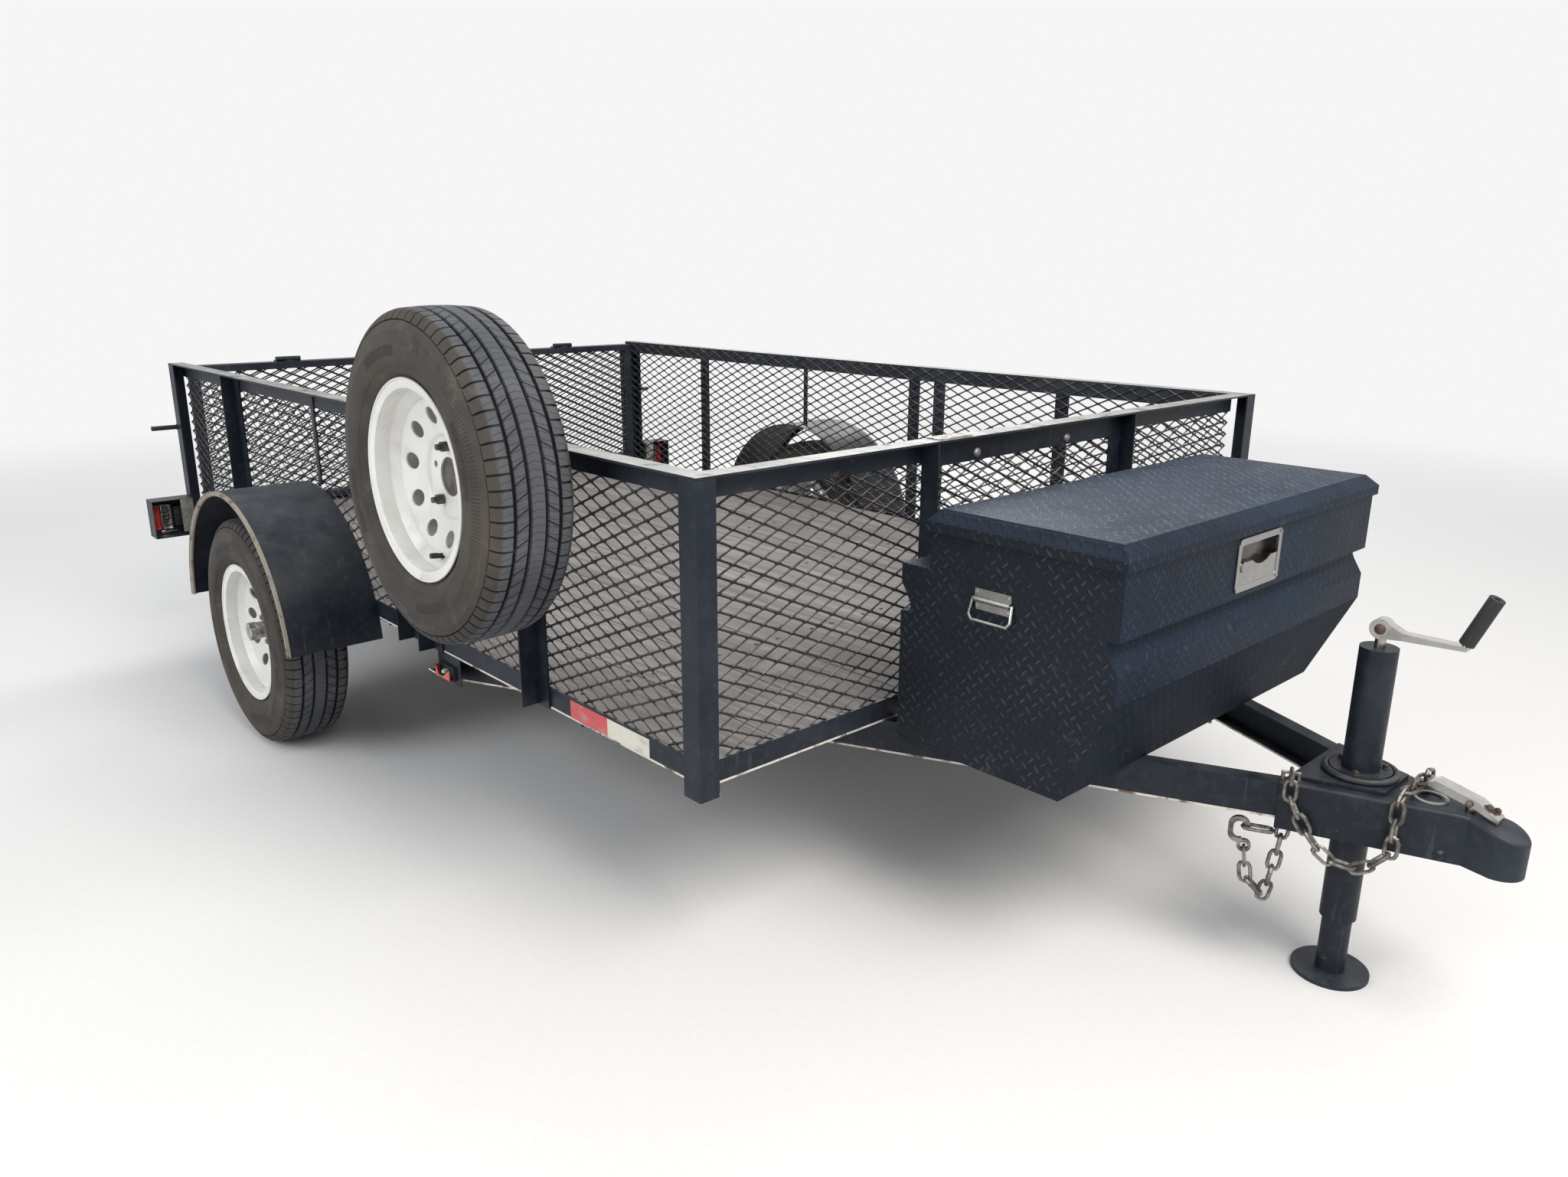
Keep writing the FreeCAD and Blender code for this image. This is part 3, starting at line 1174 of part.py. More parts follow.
def gate_mesh(x0):
    """The two panels set in a gate leaf's openings."""
    x = x0 + (GATE_TUBE - MESH_T) / 2
    y0 = GATE_TUBE / 2 + WELD_GAP
    y1 = GATE_Y - GATE_TUBE - WELD_GAP
    z0 = GATE_LOW + GATE_TUBE + WELD_GAP
    height = GATE_HIGH - GATE_TUBE - WELD_GAP - z0
    panel = mesh_panel(y1 - y0, height, lambda u, v: V(x, y0 + u, z0 + v), V(MESH_T, 0, 0))
    return both_sides(panel)


def gate_lower_frame():
    """The leaf hinged at the sill, with its sill knuckles and the fold hinge's pins."""
    pieces = [gate_frame(REAR_X)]
    for side in (-1, 1):
        y = side * GATE_HINGE_Y
        h = GATE_KNUCKLE_HALF
        strap_x = HINGE_X + 6
        knuckle = rod(V(HINGE_X, y - h, HINGE_Z), V(HINGE_X, y + h, HINGE_Z), GATE_KNUCKLE_R)
        strap = block(strap_x, strap_x + 6, y - h, y + h, HINGE_Z, GATE_LOW + 44)
        spacer = block(strap_x + 6, REAR_X, y - h, y + h, GATE_LOW + 4, GATE_LOW + 44)
        bore = rod(V(HINGE_X, y - h - 1, HINGE_Z), V(HINGE_X, y + h + 1, HINGE_Z), GATE_PIN_R + RUN_CLEARANCE)
        pieces.append(fused([knuckle, strap, spacer]).cut(bore))
        for end in (-1, 1):
            a = y + end * 16
            b = y + end * 46
            pieces.append(rod(V(FOLD_X, min(a, b), FOLD_Z), V(FOLD_X, max(a, b), FOLD_Z), FOLD_KNUCKLE_R))
            pieces.append(block(REAR_X + 2, FOLD_X, min(a, b), max(a, b), GATE_HIGH, GATE_HIGH + 5))
        pieces.append(rod(V(FOLD_X, y - 46, FOLD_Z), V(FOLD_X, y + 46, FOLD_Z), FOLD_PIN_R))
    return fused(pieces)


def gate_upper_frame():
    """The leaf that folds about the lower leaf's top edge."""
    x0 = REAR_X + GATE_TUBE + GATE_LEAF_GAP
    pieces = [gate_frame(x0)]
    for side in (-1, 1):
        y = side * GATE_HINGE_Y
        knuckle = rod(V(FOLD_X, y - 15, FOLD_Z), V(FOLD_X, y + 15, FOLD_Z), FOLD_KNUCKLE_R)
        leaf = block(FOLD_X, x0 + GATE_TUBE - 2, y - 15, y + 15, GATE_HIGH, GATE_HIGH + 5)
        bore = rod(V(FOLD_X, y - 16, FOLD_Z), V(FOLD_X, y + 16, FOLD_Z), FOLD_PIN_R + RUN_CLEARANCE)
        pieces.append(fused([knuckle, leaf]).cut(bore))
    return fused(pieces)


def gate_hinges():
    """The ears and pins on the rear rail that the gate swings on."""
    solids = []
    for side in (-1, 1):
        y = side * GATE_HINGE_Y
        ears = []
        for end in (-1, 1):
            a = y + end * (GATE_KNUCKLE_HALF + 6)
            b = a + end * 8
            ears.append(block(HINGE_X - 12, REAR_X - WELD_GAP, min(a, b), max(a, b), HINGE_Z - 12, HINGE_Z + 10))
        reach = GATE_KNUCKLE_HALF + 18
        ears.append(rod(V(HINGE_X, y - reach, HINGE_Z), V(HINGE_X, y + reach, HINGE_Z), GATE_PIN_R))
        solids.append(fused(ears))
    return solids


def gate_latches():
    """The spring latches outside the rear posts: a guide tube and a bent pull rod."""
    z = 820.0
    x = REAR_X - 12.0
    guide = tube(V(x, FLANGE_Y - 46, z), V(x, FLANGE_Y - 2, z), 12, 8.5)
    tab = block(x - 4, REAR_X - WELD_GAP, FLANGE_Y - 40, FLANGE_Y - 8, z - 24, z - 10)
    pull = rod(V(x, FLANGE_Y - 46, z), V(x, FLANGE_Y + 84, z), 8.5)
    return both_sides(fused([guide, tab, pull]))


def lamp_boxes():
    """Open sheet boxes outboard of the rear posts for the tail lamps."""
    y0 = FLANGE_Y + WELD_GAP
    y1 = y0 + LAMP_BOX_WIDTH
    x0 = REAR_X
    x1 = REAR_X + LAMP_BOX_DEPTH
    z0 = LAMP_BOX_Z
    z1 = z0 + LAMP_BOX_HEIGHT
    s = LAMP_SHEET
    return both_sides(block(x0, x1, y0, y1, z0, z1).cut(block(x0 + s, x1 + 1, y0 + s, y1 - s, z0 + s, z1 - s)))


def tail_lamps():
    """Square stop and turn lamps on the boxes' backs."""
    y0 = FLANGE_Y + WELD_GAP + (LAMP_BOX_WIDTH - LENS_SIDE) / 2
    z0 = LAMP_BOX_Z + (LAMP_BOX_HEIGHT - LENS_SIDE) / 2
    return both_sides(block(REAR_X - LENS_DEPTH, REAR_X, y0, y0 + LENS_SIDE, z0, z0 + LENS_SIDE))


def marker_lamps():
    """Side markers on plates under the rails, at the tongue beams' ends."""
    y = FACE_Y + WELD_GAP
    face = y + LAMP_SHEET
    margin = (MARKER_PLATE - MARKER_LENS) / 2
    plate = block(-MARKER_FRONT - MARKER_PLATE, -MARKER_FRONT, y, face, BEAM_LOW + 4, RAIL_UNDERSIDE)
    lamp = block(-MARKER_FRONT - MARKER_PLATE + margin, -MARKER_FRONT - margin, face, face + MARKER_DEPTH,
                 BEAM_LOW + 16, BEAM_LOW + 52)
    return both_sides(fused([plate, lamp]))


def nodes():
    """Every sub-part by its name."""
    spring, eye_z = leaf_spring()
    spare = V(-SPARE_BACK, -SPARE_Y, SPARE_Z)
    upper_x = REAR_X + GATE_TUBE + GATE_LEAF_GAP
    return {
        "bottom_rails": bottom_rails(),
        "top_rails": top_rails(),
        "posts": posts(),
        "front_strap": [front_strap()],
        "mesh_right": [side_mesh(-1)],
        "mesh_left": [side_mesh(1)],
        "mesh_front": [front_mesh()],
        "deck_planks": deck_planks(),
        "cross_members": cross_members(),
        "tongue_beams": tongue_beams(),
        "coupler": [coupler()],
        "coupler_latch": [coupler_latch()],
        "safety_chains": safety_chains(),
        "jack_tube": [jack_tube()],
        "jack_ram": [jack_ram()],
        "jack_crank": [jack_crank()],
        "jack_grip": [jack_grip()],
        "toolbox_body": [toolbox_body()],
        "toolbox_ends": toolbox_ends(),
        "toolbox_hinge": toolbox_hinge(),
        "toolbox_latch": [toolbox_latch()],
        "toolbox_handles": toolbox_handles(),
        "toolbox_lid": [toolbox_lid()],
        "wheel_right_rim": [rim(wheel_centre(-1), -1)],
        "wheel_left_rim": [rim(wheel_centre(1), 1)],
        "wheel_right_tyre": [tyre(wheel_centre(-1))],
        "wheel_left_tyre": [tyre(wheel_centre(1))],
        "wheel_right_hub": [hub(-1)],
        "wheel_left_hub": [hub(1)],
        "axle": [axle()],
        "leaf_springs": both_sides(spring),
        "spring_mounts": spring_mounts(eye_z),
        "fender_right": [fender(-1)],
        "fender_left": [fender(1)],
        "spare_carrier": [spare_carrier()],
        "spare_rim": [rim(spare, -1)],
        "spare_tyre": [tyre(spare)],
        "gate_lower_frame": [gate_lower_frame()],
        "gate_lower_mesh": gate_mesh(REAR_X),
        "gate_upper_frame": [gate_upper_frame()],
        "gate_upper_mesh": gate_mesh(upper_x),
        "gate_hinges": gate_hinges(),
        "gate_latches": gate_latches(),
        "lamp_boxes": lamp_boxes(),
        "tail_lamps": tail_lamps(),
        "marker_lamps": marker_lamps(),
    }


def model():
    """All nodes with the whole trailer's middle over the origin, and the shift that put it there."""
    shapes = {name: Part.makeCompound(solids) for name, solids in nodes().items()}
    whole = Part.makeCompound(list(shapes.values())).optimalBoundingBox(False)
    shift = V(-(whole.XMin + whole.XMax) / 2, -(whole.YMin + whole.YMax) / 2, -whole.ZMin)
    for shape in shapes.values():
        shape.translate(shift)
    return shapes, shift


def main():
    """Write one STEP file per node."""
    os.makedirs("parts", exist_ok=True)
    shapes, shift = model()
    for name, shape in shapes.items():
        print("%-20s solids %d valid %s" % (name, len(shape.Solids), shape.isValid()))
        shape.exportStep("parts/%s.step" % name)
    print("shift", shift)


if __name__ == "__main__":
    main()
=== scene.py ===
"""Finishes and fine pieces of a single-axle utility trailer, fitted on its solid frame.

Metres, +X towards the coupler, +Y to the trailer's left, +Z up from the floor.
"""
import json
import logging
import math
from dataclasses import dataclass, field
from enum import Enum
from typing import Protocol, Union

import bpy
from mathutils import Matrix, Vector


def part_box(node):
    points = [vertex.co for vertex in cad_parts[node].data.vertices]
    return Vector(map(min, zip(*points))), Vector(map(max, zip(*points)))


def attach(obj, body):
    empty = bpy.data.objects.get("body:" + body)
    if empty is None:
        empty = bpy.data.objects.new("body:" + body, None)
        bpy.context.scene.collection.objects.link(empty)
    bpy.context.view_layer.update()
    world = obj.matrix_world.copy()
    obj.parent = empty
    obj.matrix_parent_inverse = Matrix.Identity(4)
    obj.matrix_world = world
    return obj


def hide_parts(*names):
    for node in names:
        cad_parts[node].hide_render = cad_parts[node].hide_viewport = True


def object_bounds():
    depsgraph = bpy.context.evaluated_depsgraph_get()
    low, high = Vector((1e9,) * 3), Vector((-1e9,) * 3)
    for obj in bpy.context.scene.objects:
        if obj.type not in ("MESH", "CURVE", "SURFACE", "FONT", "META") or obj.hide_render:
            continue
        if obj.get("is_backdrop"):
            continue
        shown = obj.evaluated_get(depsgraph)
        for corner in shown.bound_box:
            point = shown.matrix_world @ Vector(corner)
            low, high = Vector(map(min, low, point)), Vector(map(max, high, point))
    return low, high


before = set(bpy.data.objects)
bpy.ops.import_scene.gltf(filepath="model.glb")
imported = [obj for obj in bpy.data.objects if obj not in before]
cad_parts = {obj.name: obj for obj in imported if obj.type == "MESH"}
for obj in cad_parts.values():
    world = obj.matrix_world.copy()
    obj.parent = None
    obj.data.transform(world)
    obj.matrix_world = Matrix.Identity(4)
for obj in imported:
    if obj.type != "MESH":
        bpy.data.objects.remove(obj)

LOG = logging.getLogger("trailer")
CHASSIS = "chassis"

# A shader's socket, and what may stand for a number or a colour in one
Socket = bpy.types.NodeSocket
Value = Union[float, Socket]
Colour = Union[tuple, Socket]

# Places of the bed's front edge and of the centre line in the frame
BED_FRONT = 1.0344
CENTRE_Y = 0.00825

# Places given from the bed's front edge or the centre line, in metres
BED_REAR = -3.1238
JACK_X = 0.785
BOARD_EDGE = 0.9855
BOARD = 0.1975


def at(x: float, y: float, z: float) -> Vector:
    """A point given from the bed's front edge, the centre line and the floor, in metres."""
    return Vector((x + BED_FRONT, y + CENTRE_Y, z))


class Side(Enum):
    """The trailer's two sides."""

    RIGHT = -1
    LEFT = 1

    def at(self, x: float, out: float, z: float) -> Vector:
        """A point on this side, its distance from the centre line given."""
        return at(x, self.value * out, z)


class Bench:
    """Modelling moves that every piece is made with."""

    @staticmethod
    def clear() -> None:
        """Leave edit mode and select nothing."""
        if bpy.context.object and bpy.context.object.mode != "OBJECT":
            bpy.ops.object.mode_set(mode="OBJECT")
        bpy.ops.object.select_all(action="DESELECT")

    @staticmethod
    def pick(*objs: bpy.types.Object) -> None:
        """Select these objects alone, the first one active.

        Args:
            objs: The pieces.
        """
        Bench.clear()
        for obj in objs:
            obj.select_set(True)
        bpy.context.view_layer.objects.active = objs[0]

    @staticmethod
    def settle(obj: bpy.types.Object) -> bpy.types.Object:
        """Put an object's place, turn and size into its mesh.

        Args:
            obj: The piece as it stands.

        Returns:
            The same piece with its object at the origin.
        """
        Bench.pick(obj)
        bpy.ops.object.transform_apply(location=True, rotation=True, scale=True)
        return obj

    @staticmethod
    def block(name: str, low: Vector, high: Vector) -> bpy.types.Object:
        """A box between two corners, as the start of a piece.

        Args:
            name: The piece's name.
            low: One corner.
            high: The opposite corner.

        Returns:
            The box.
        """
        Bench.clear()
        middle = (Vector(low) + Vector(high)) / 2
        bpy.ops.mesh.primitive_cube_add(size=1, location=middle)
        obj = bpy.context.object
        obj.name = name
        obj.scale = [abs(b - a) for a, b in zip(low, high)]
        return Bench.settle(obj)

    @staticmethod
    def bar(name: str, start: Vector, end: Vector, radius: float, sides: int = 24) -> bpy.types.Object:
        """A round bar between two points, as the start of a piece.

        Args:
            name: The piece's name.
            start: One end of its axis.
            end: The other end.
            radius: Its radius.
            sides: How many sides it has.

        Returns:
            The bar.
        """
        Bench.clear()
        run = Vector(end) - Vector(start)
        bpy.ops.mesh.primitive_cylinder_add(vertices=sides, radius=radius, depth=run.length,
                                            location=(Vector(start) + Vector(end)) / 2,
                                            rotation=run.to_track_quat("Z", "Y").to_euler())
        obj = bpy.context.object
        obj.name = name
        return Bench.settle(obj)

    @staticmethod
    def use(obj: bpy.types.Object, kind: str, **settings: object) -> bpy.types.Object:
        """Add a modifier with its settings and apply it.

        Args:
            obj: The piece.
            kind: The modifier's type.
            settings: The modifier's properties by name.

        Returns:
            The piece with the modifier applied.
        """
        Bench.pick(obj)
        step = obj.modifiers.new(kind.title(), kind)
        for key, value in settings.items():
            setattr(step, key, value)
        bpy.ops.object.modifier_apply(modifier=step.name)
        return obj

    @staticmethod
    def repeat(obj: bpy.types.Object, count: int, step: Vector) -> bpy.types.Object:
        """Repeat a piece in a row at a fixed step."""
        return Bench.use(obj, "ARRAY", count=count, use_relative_offset=False, use_constant_offset=True,
                         constant_offset_displace=step)

    @staticmethod
    def soften(obj: bpy.types.Object, width: float, segments: int = 2) -> bpy.types.Object:
        """Round a piece's hard edges.

        Args:
            obj: The piece.
            width: How far the rounding reaches.
            segments: How many steps it has.

        Returns:
            The piece with its edges rounded.
        """
        Bench.use(obj, "BEVEL", width=width, segments=segments, limit_method="ANGLE", harden_normals=False)
        Bench.pick(obj)
        bpy.ops.object.shade_smooth_by_angle(angle=math.radians(35))
        return obj

    @staticmethod
    def twin(obj: bpy.types.Object, name: str, move: Matrix) -> bpy.types.Object:
        """A copy of a piece with its own mesh, moved by a matrix.

        Args:
            obj: The piece.
            name: The copy's name.
            move: The matrix that places the copy.

        Returns:
            The copy.
        """
        copy = obj.copy()
        copy.data = obj.data.copy()
        copy.name = name
        bpy.context.collection.objects.link(copy)
        copy.data.transform(move)
        return copy

    @staticmethod
    def join(name: str, objs: list) -> bpy.types.Object:
        """One piece from several.

        Args:
            name: The piece's name.
            objs: The pieces to join.

        Returns:
            The joined piece.
        """
        Bench.pick(*objs)
        if len(objs) > 1:
            bpy.ops.object.join()
        bpy.context.object.name = name
        return bpy.context.object

    @staticmethod
    def trim(obj: bpy.types.Object, place: Vector, outward: Vector) -> bpy.types.Object:
        """Cut a piece off at a plane and close the cut.

        Args:
            obj: The piece.
            place: A point on the plane.
            outward: The way towards what goes.

        Returns:
            The piece that is left.
        """
        Bench.pick(obj)
        bpy.ops.object.mode_set(mode="EDIT")
        bpy.ops.mesh.select_all(action="SELECT")
        bpy.ops.mesh.bisect(plane_co=place, plane_no=outward, use_fill=True, clear_outer=True)
        bpy.ops.object.mode_set(mode="OBJECT")
        return obj

    @staticmethod
    def lathe(name: str, profile: list, centre: Vector, steps: int = 96,
              angle: float = 2 * math.pi) -> bpy.types.Object:
        """Turn an outline of (y, radius) points about a cross-wise axis.

        Args:
            name: The piece's name.
            profile: The closed outline, first point not repeated.
            centre: A point on the axis.
            steps: How many sections the turn has.
            angle: How far round it goes.

        Returns:
            The closed ring, or the piece of one.
        """
        Bench.clear()
        first = Vector(centre) + Vector((0, profile[0][0], profile[0][1]))
        bpy.ops.mesh.primitive_plane_add(size=0.01, location=(0, 0, 0))
        obj = bpy.context.object
        obj.name = name
        bpy.ops.object.mode_set(mode="EDIT")
        bpy.ops.mesh.select_mode(type="VERT")
        bpy.ops.mesh.select_all(action="SELECT")
        bpy.ops.mesh.merge(type="CENTER")
        bpy.ops.transform.translate(value=first)
        last = profile[0]
        for here in profile[1:] + profile[:1]:
            move = (0, here[0] - last[0], here[1] - last[1])
            bpy.ops.mesh.extrude_region_move(TRANSFORM_OT_translate={"value": move})
            last = here
        bpy.ops.mesh.select_all(action="SELECT")
        bpy.ops.mesh.remove_doubles(threshold=0.00001)
        bpy.ops.mesh.select_all(action="SELECT")
        if angle < 2 * math.pi:
            bpy.ops.mesh.edge_face_add()
        bpy.ops.mesh.spin(steps=steps, angle=angle, center=centre, axis=(0, 1, 0))
        return Bench.close(obj)

    @staticmethod
    def rod(name: str, points: list, radius: float, bend: float, sides: int = 12) -> bpy.types.Object:
        """A rod bent round its inner corners.

        Args:
            name: The piece's name.
            points: The corners of its middle line.
            radius: Half its thickness.
            bend: The bends' radius.
            sides: How many sides its section has.

        Returns:
            The closed rod.
        """
        Bench.clear()
        spots = [Vector(p) for p in points]
        ways = [(b - a).normalized() for a, b in zip(spots, spots[1:])]
        bpy.ops.mesh.primitive_circle_add(vertices=sides, radius=radius, fill_type="NGON", location=spots[0],
                                          rotation=ways[0].to_track_quat("Z", "Y").to_euler())
        obj = Bench.settle(bpy.context.object)
        obj.name = name
        bpy.ops.object.mode_set(mode="EDIT")
        bpy.ops.mesh.select_mode(type="FACE")
        bpy.ops.mesh.select_all(action="SELECT")
        here = spots[0]
        for i, way in enumerate(ways):
            angle = 0.0 if i == len(ways) - 1 else way.angle(ways[i + 1])
            stop = spots[i + 1] - way * bend * math.tan(angle / 2)
            bpy.ops.mesh.extrude_region_move(TRANSFORM_OT_translate={"value": stop - here})
            here = stop
            if angle > 0.01:
                axis = way.cross(ways[i + 1]).normalized()
                middle = here + axis.cross(way) * bend
                bpy.ops.mesh.spin(steps=max(2, round(angle / 0.35)), angle=angle, center=middle, axis=axis)
                here = spots[i + 1] + ways[i + 1] * bend * math.tan(angle / 2)
        return Bench.close(obj, 50)

    @staticmethod
    def close(obj: bpy.types.Object, smooth: float = 30) -> bpy.types.Object:
        """Merge a mesh's doubles, turn its faces outward and smooth its shallow edges.

        Args:
            obj: The piece.
            smooth: The angle in degrees up to which edges are smoothed.

        Returns:
            The closed piece.
        """
        if obj.mode != "EDIT":
            Bench.pick(obj)
            bpy.ops.object.mode_set(mode="EDIT")
        bpy.ops.mesh.select_all(action="SELECT")
        bpy.ops.mesh.remove_doubles(threshold=0.00001)
        bpy.ops.mesh.normals_make_consistent(inside=False)
        bpy.ops.object.mode_set(mode="OBJECT")
        bpy.ops.object.shade_smooth_by_angle(angle=math.radians(smooth))
        return obj

    @staticmethod
    def hollow(obj: bpy.types.Object, way: Vector, wall: float, depth: float) -> bpy.types.Object:
        """Sink a pocket into the side of a block that faces one way, a rim of it left standing.

        Args:
            obj: The piece.
            way: The way the side faces.
            wall: The rim's width.
            depth: The pocket's depth.

        Returns:
            The piece with its pocket.
        """
        Bench.pick(obj)
        bpy.ops.object.mode_set(mode="EDIT")
        bpy.ops.mesh.select_all(action="DESELECT")
        bpy.ops.object.mode_set(mode="OBJECT")
        for face in obj.data.polygons:
            face.select = face.normal.dot(Vector(way)) > 0.9
        bpy.ops.object.mode_set(mode="EDIT")
        bpy.ops.mesh.select_mode(type="FACE")
        bpy.ops.mesh.inset(thickness=wall)
        bpy.ops.mesh.extrude_region_move(TRANSFORM_OT_translate={"value": Vector(way) * -depth})
        bpy.ops.object.mode_set(mode="OBJECT")
        return obj

    @staticmethod
    def spread_round(obj: bpy.types.Object, count: int, centre: Vector) -> bpy.types.Object:
        """Repeat a piece round a cross-wise axis.

        Args:
            obj: The piece.
            count: How many there are.
            centre: A point on the axis.

        Returns:
            The whole ring of them.
        """
        Bench.pick(obj)
        bpy.ops.object.mode_set(mode="EDIT")
        bpy.ops.mesh.select_all(action="SELECT")
        bpy.ops.mesh.spin(steps=count, angle=2 * math.pi, center=centre, axis=(0, 1, 0), dupli=True)
        return Bench.close(obj)


class Shader:
    """A material's node tree, built up step by step."""

    def __init__(self, name: str) -> None:
        """Start a material with its surface shader.

        Args:
            name: The material's name.
        """
        self.material = bpy.data.materials.new(name)
        self.material.use_nodes = True
        self.tree = self.material.node_tree
        self.surface = self.tree.nodes["Principled BSDF"]
        place = self.tree.nodes.new("ShaderNodeTexCoord")
        self.place = place.outputs["Object"]
        self.facing = place.outputs["Normal"]

    def feed(self, socket: Socket, value: object) -> None:
        """Link a socket to another one or set its value.

        Args:
            socket: The socket to feed.
            value: A socket, a number, a vector or a colour of three or four parts.
        """
        if isinstance(value, Socket):
            self.tree.links.new(value, socket)
        elif socket.type == "RGBA" and len(value) == 3:
            socket.default_value = (*value, 1)
        else:
            socket.default_value = value

    def node(self, kind: str, inputs: dict, **settings: object) -> bpy.types.Node:
        """Add a node, its inputs linked to sockets or set to values.

        Args:
            kind: The node's type.
            inputs: Sockets or values by input.
            settings: The node's properties by name.

        Returns:
            The node.
        """
        node = self.tree.nodes.new(kind)
        for key, value in settings.items():
            setattr(node, key, value)
        for key, value in inputs.items():
            self.feed(node.inputs[key], value)
        return node

    def noise(self, scale: float, detail: float = 4.0, stretch: tuple = (1, 1, 1),
              rough: float = 0.6) -> Socket:
        """A noise pattern on the piece, from 0 to 1.

        Args:
            scale: How fine it is.
            detail: How many layers it has.
            stretch: Its scale along each axis.
            rough: How strong its fine layers are.

        Returns:
            The pattern.
        """
        spread = self.node("ShaderNodeMapping", {"Vector": self.place, "Scale": stretch})
        inputs = {"Vector": spread.outputs[0], "Scale": scale, "Detail": detail, "Roughness": rough}
        return self.node("ShaderNodeTexNoise", inputs).outputs["Fac"]

    def cells(self, scale: float, stretch: tuple = (1, 1, 1)) -> Socket:
        """Distances in a cell pattern on the piece.

        Args:
            scale: How fine it is.
            stretch: Its scale along each axis.

        Returns:
            The distances.
        """
        spread = self.node("ShaderNodeMapping", {"Vector": self.place, "Scale": stretch})
        inputs = {"Vector": spread.outputs[0], "Scale": scale}
        return self.node("ShaderNodeTexVoronoi", inputs).outputs["Distance"]

    def ramp(self, value: Value, low: float, high: float, start: float = 0.0, end: float = 1.0) -> Socket:
        """A value mapped smoothly from one range onto another.

        Args:
            value: The value.
            low: The value that gives the start.
            high: The value that gives the end.
            start: What comes out at the low limit.
            end: What comes out at the high limit.

        Returns:
            The mapped value.
        """
        return self.node("ShaderNodeMapRange", {"Value": value, "From Min": low, "From Max": high,
                                                "To Min": start, "To Max": end},
                         interpolation_type="SMOOTHSTEP").outputs[0]

    def math(self, kind: str, a: Value, b: Value = 0.0) -> Socket:
        """A sum on two values."""
        return self.node("ShaderNodeMath", {0: a, 1: b}, operation=kind).outputs[0]

    def blend(self, share: Value, a: Colour, b: Colour) -> Socket:
        """Two colours mixed by a share."""
        return self.node("ShaderNodeMix", {0: share, 6: a, 7: b}, data_type="RGBA").outputs[2]

    def round(self, x: float, z: float) -> tuple:
        """The angle and the distance about a cross-wise axis through a point.

        Args:
            x: The axis's place along the trailer.
            z: Its height.

        Returns:
            The angle in radians and the distance in metres.
        """
        a = self.math("SUBTRACT", self.axis(self.place, "X"), x)
        b = self.math("SUBTRACT", self.axis(self.place, "Z"), z)
        flat = self.node("ShaderNodeCombineXYZ", {"X": a, "Y": b}).outputs[0]
        reach = self.node("ShaderNodeVectorMath", {0: flat}, operation="LENGTH").outputs["Value"]
        return self.math("ARCTAN2", b, a), reach

    def pulses(self, value: Value, count: float, share: float = 0.3, edge: float = 0.08) -> Socket:
        """1 on a share of each of a count of steps round the full turn.

        Args:
            value: An angle in radians.
            count: How many pulses a turn has.
            share: Each pulse's share of its step.
            edge: The share over which it rises.

        Returns:
            The pulses, from 0 to 1.
        """
        steps = self.math("MULTIPLY", value, count / (2 * math.pi))
        part = self.math("FRACT", self.math("ADD", steps, 100.0))
        up = self.ramp(part, 0.0, edge)
        return self.math("MULTIPLY", up, self.ramp(part, share + edge, share))

    def between(self, value: Value, low: float, high: float, edge: float = 0.001) -> Socket:
        """1 where a value lies between two limits."""
        return self.math("MULTIPLY", self.ramp(value, low - edge, low), self.ramp(value, high + edge, high))

    def axis(self, vector: Socket, name: str) -> Socket:
        """One of a vector's three parts."""
        return self.node("ShaderNodeSeparateXYZ", {"Vector": vector}).outputs[name]

    def upward(self, low: float = 0.5, high: float = 0.95) -> Socket:
        """1 where the surface looks up."""
        return self.ramp(self.axis(self.facing, "Z"), low, high)

    def bump(self, height: Socket, strength: float, depth: float) -> None:
        """Raise the surface by a pattern.

        Args:
            height: The pattern, from 0 to 1.
            strength: How much of it shows.
            depth: Its depth in metres.
        """
        inputs = {"Height": height, "Strength": strength, "Distance": depth}
        old = self.surface.inputs["Normal"]
        if old.is_linked:
            inputs["Normal"] = old.links[0].from_socket
        bump = self.node("ShaderNodeBump", inputs)
        self.tree.links.new(bump.outputs[0], old)

    def set(self, **values: object) -> None:
        """Set or link the surface shader's sockets, spaces in their names written as underscores."""
        for key, value in values.items():
            self.feed(self.surface.inputs[key.replace("_", " ")], value)


class Finish(Protocol):
    """Anything with a name that can build its own material."""

    name: str

    def build(self) -> bpy.types.Material:
        """The material."""


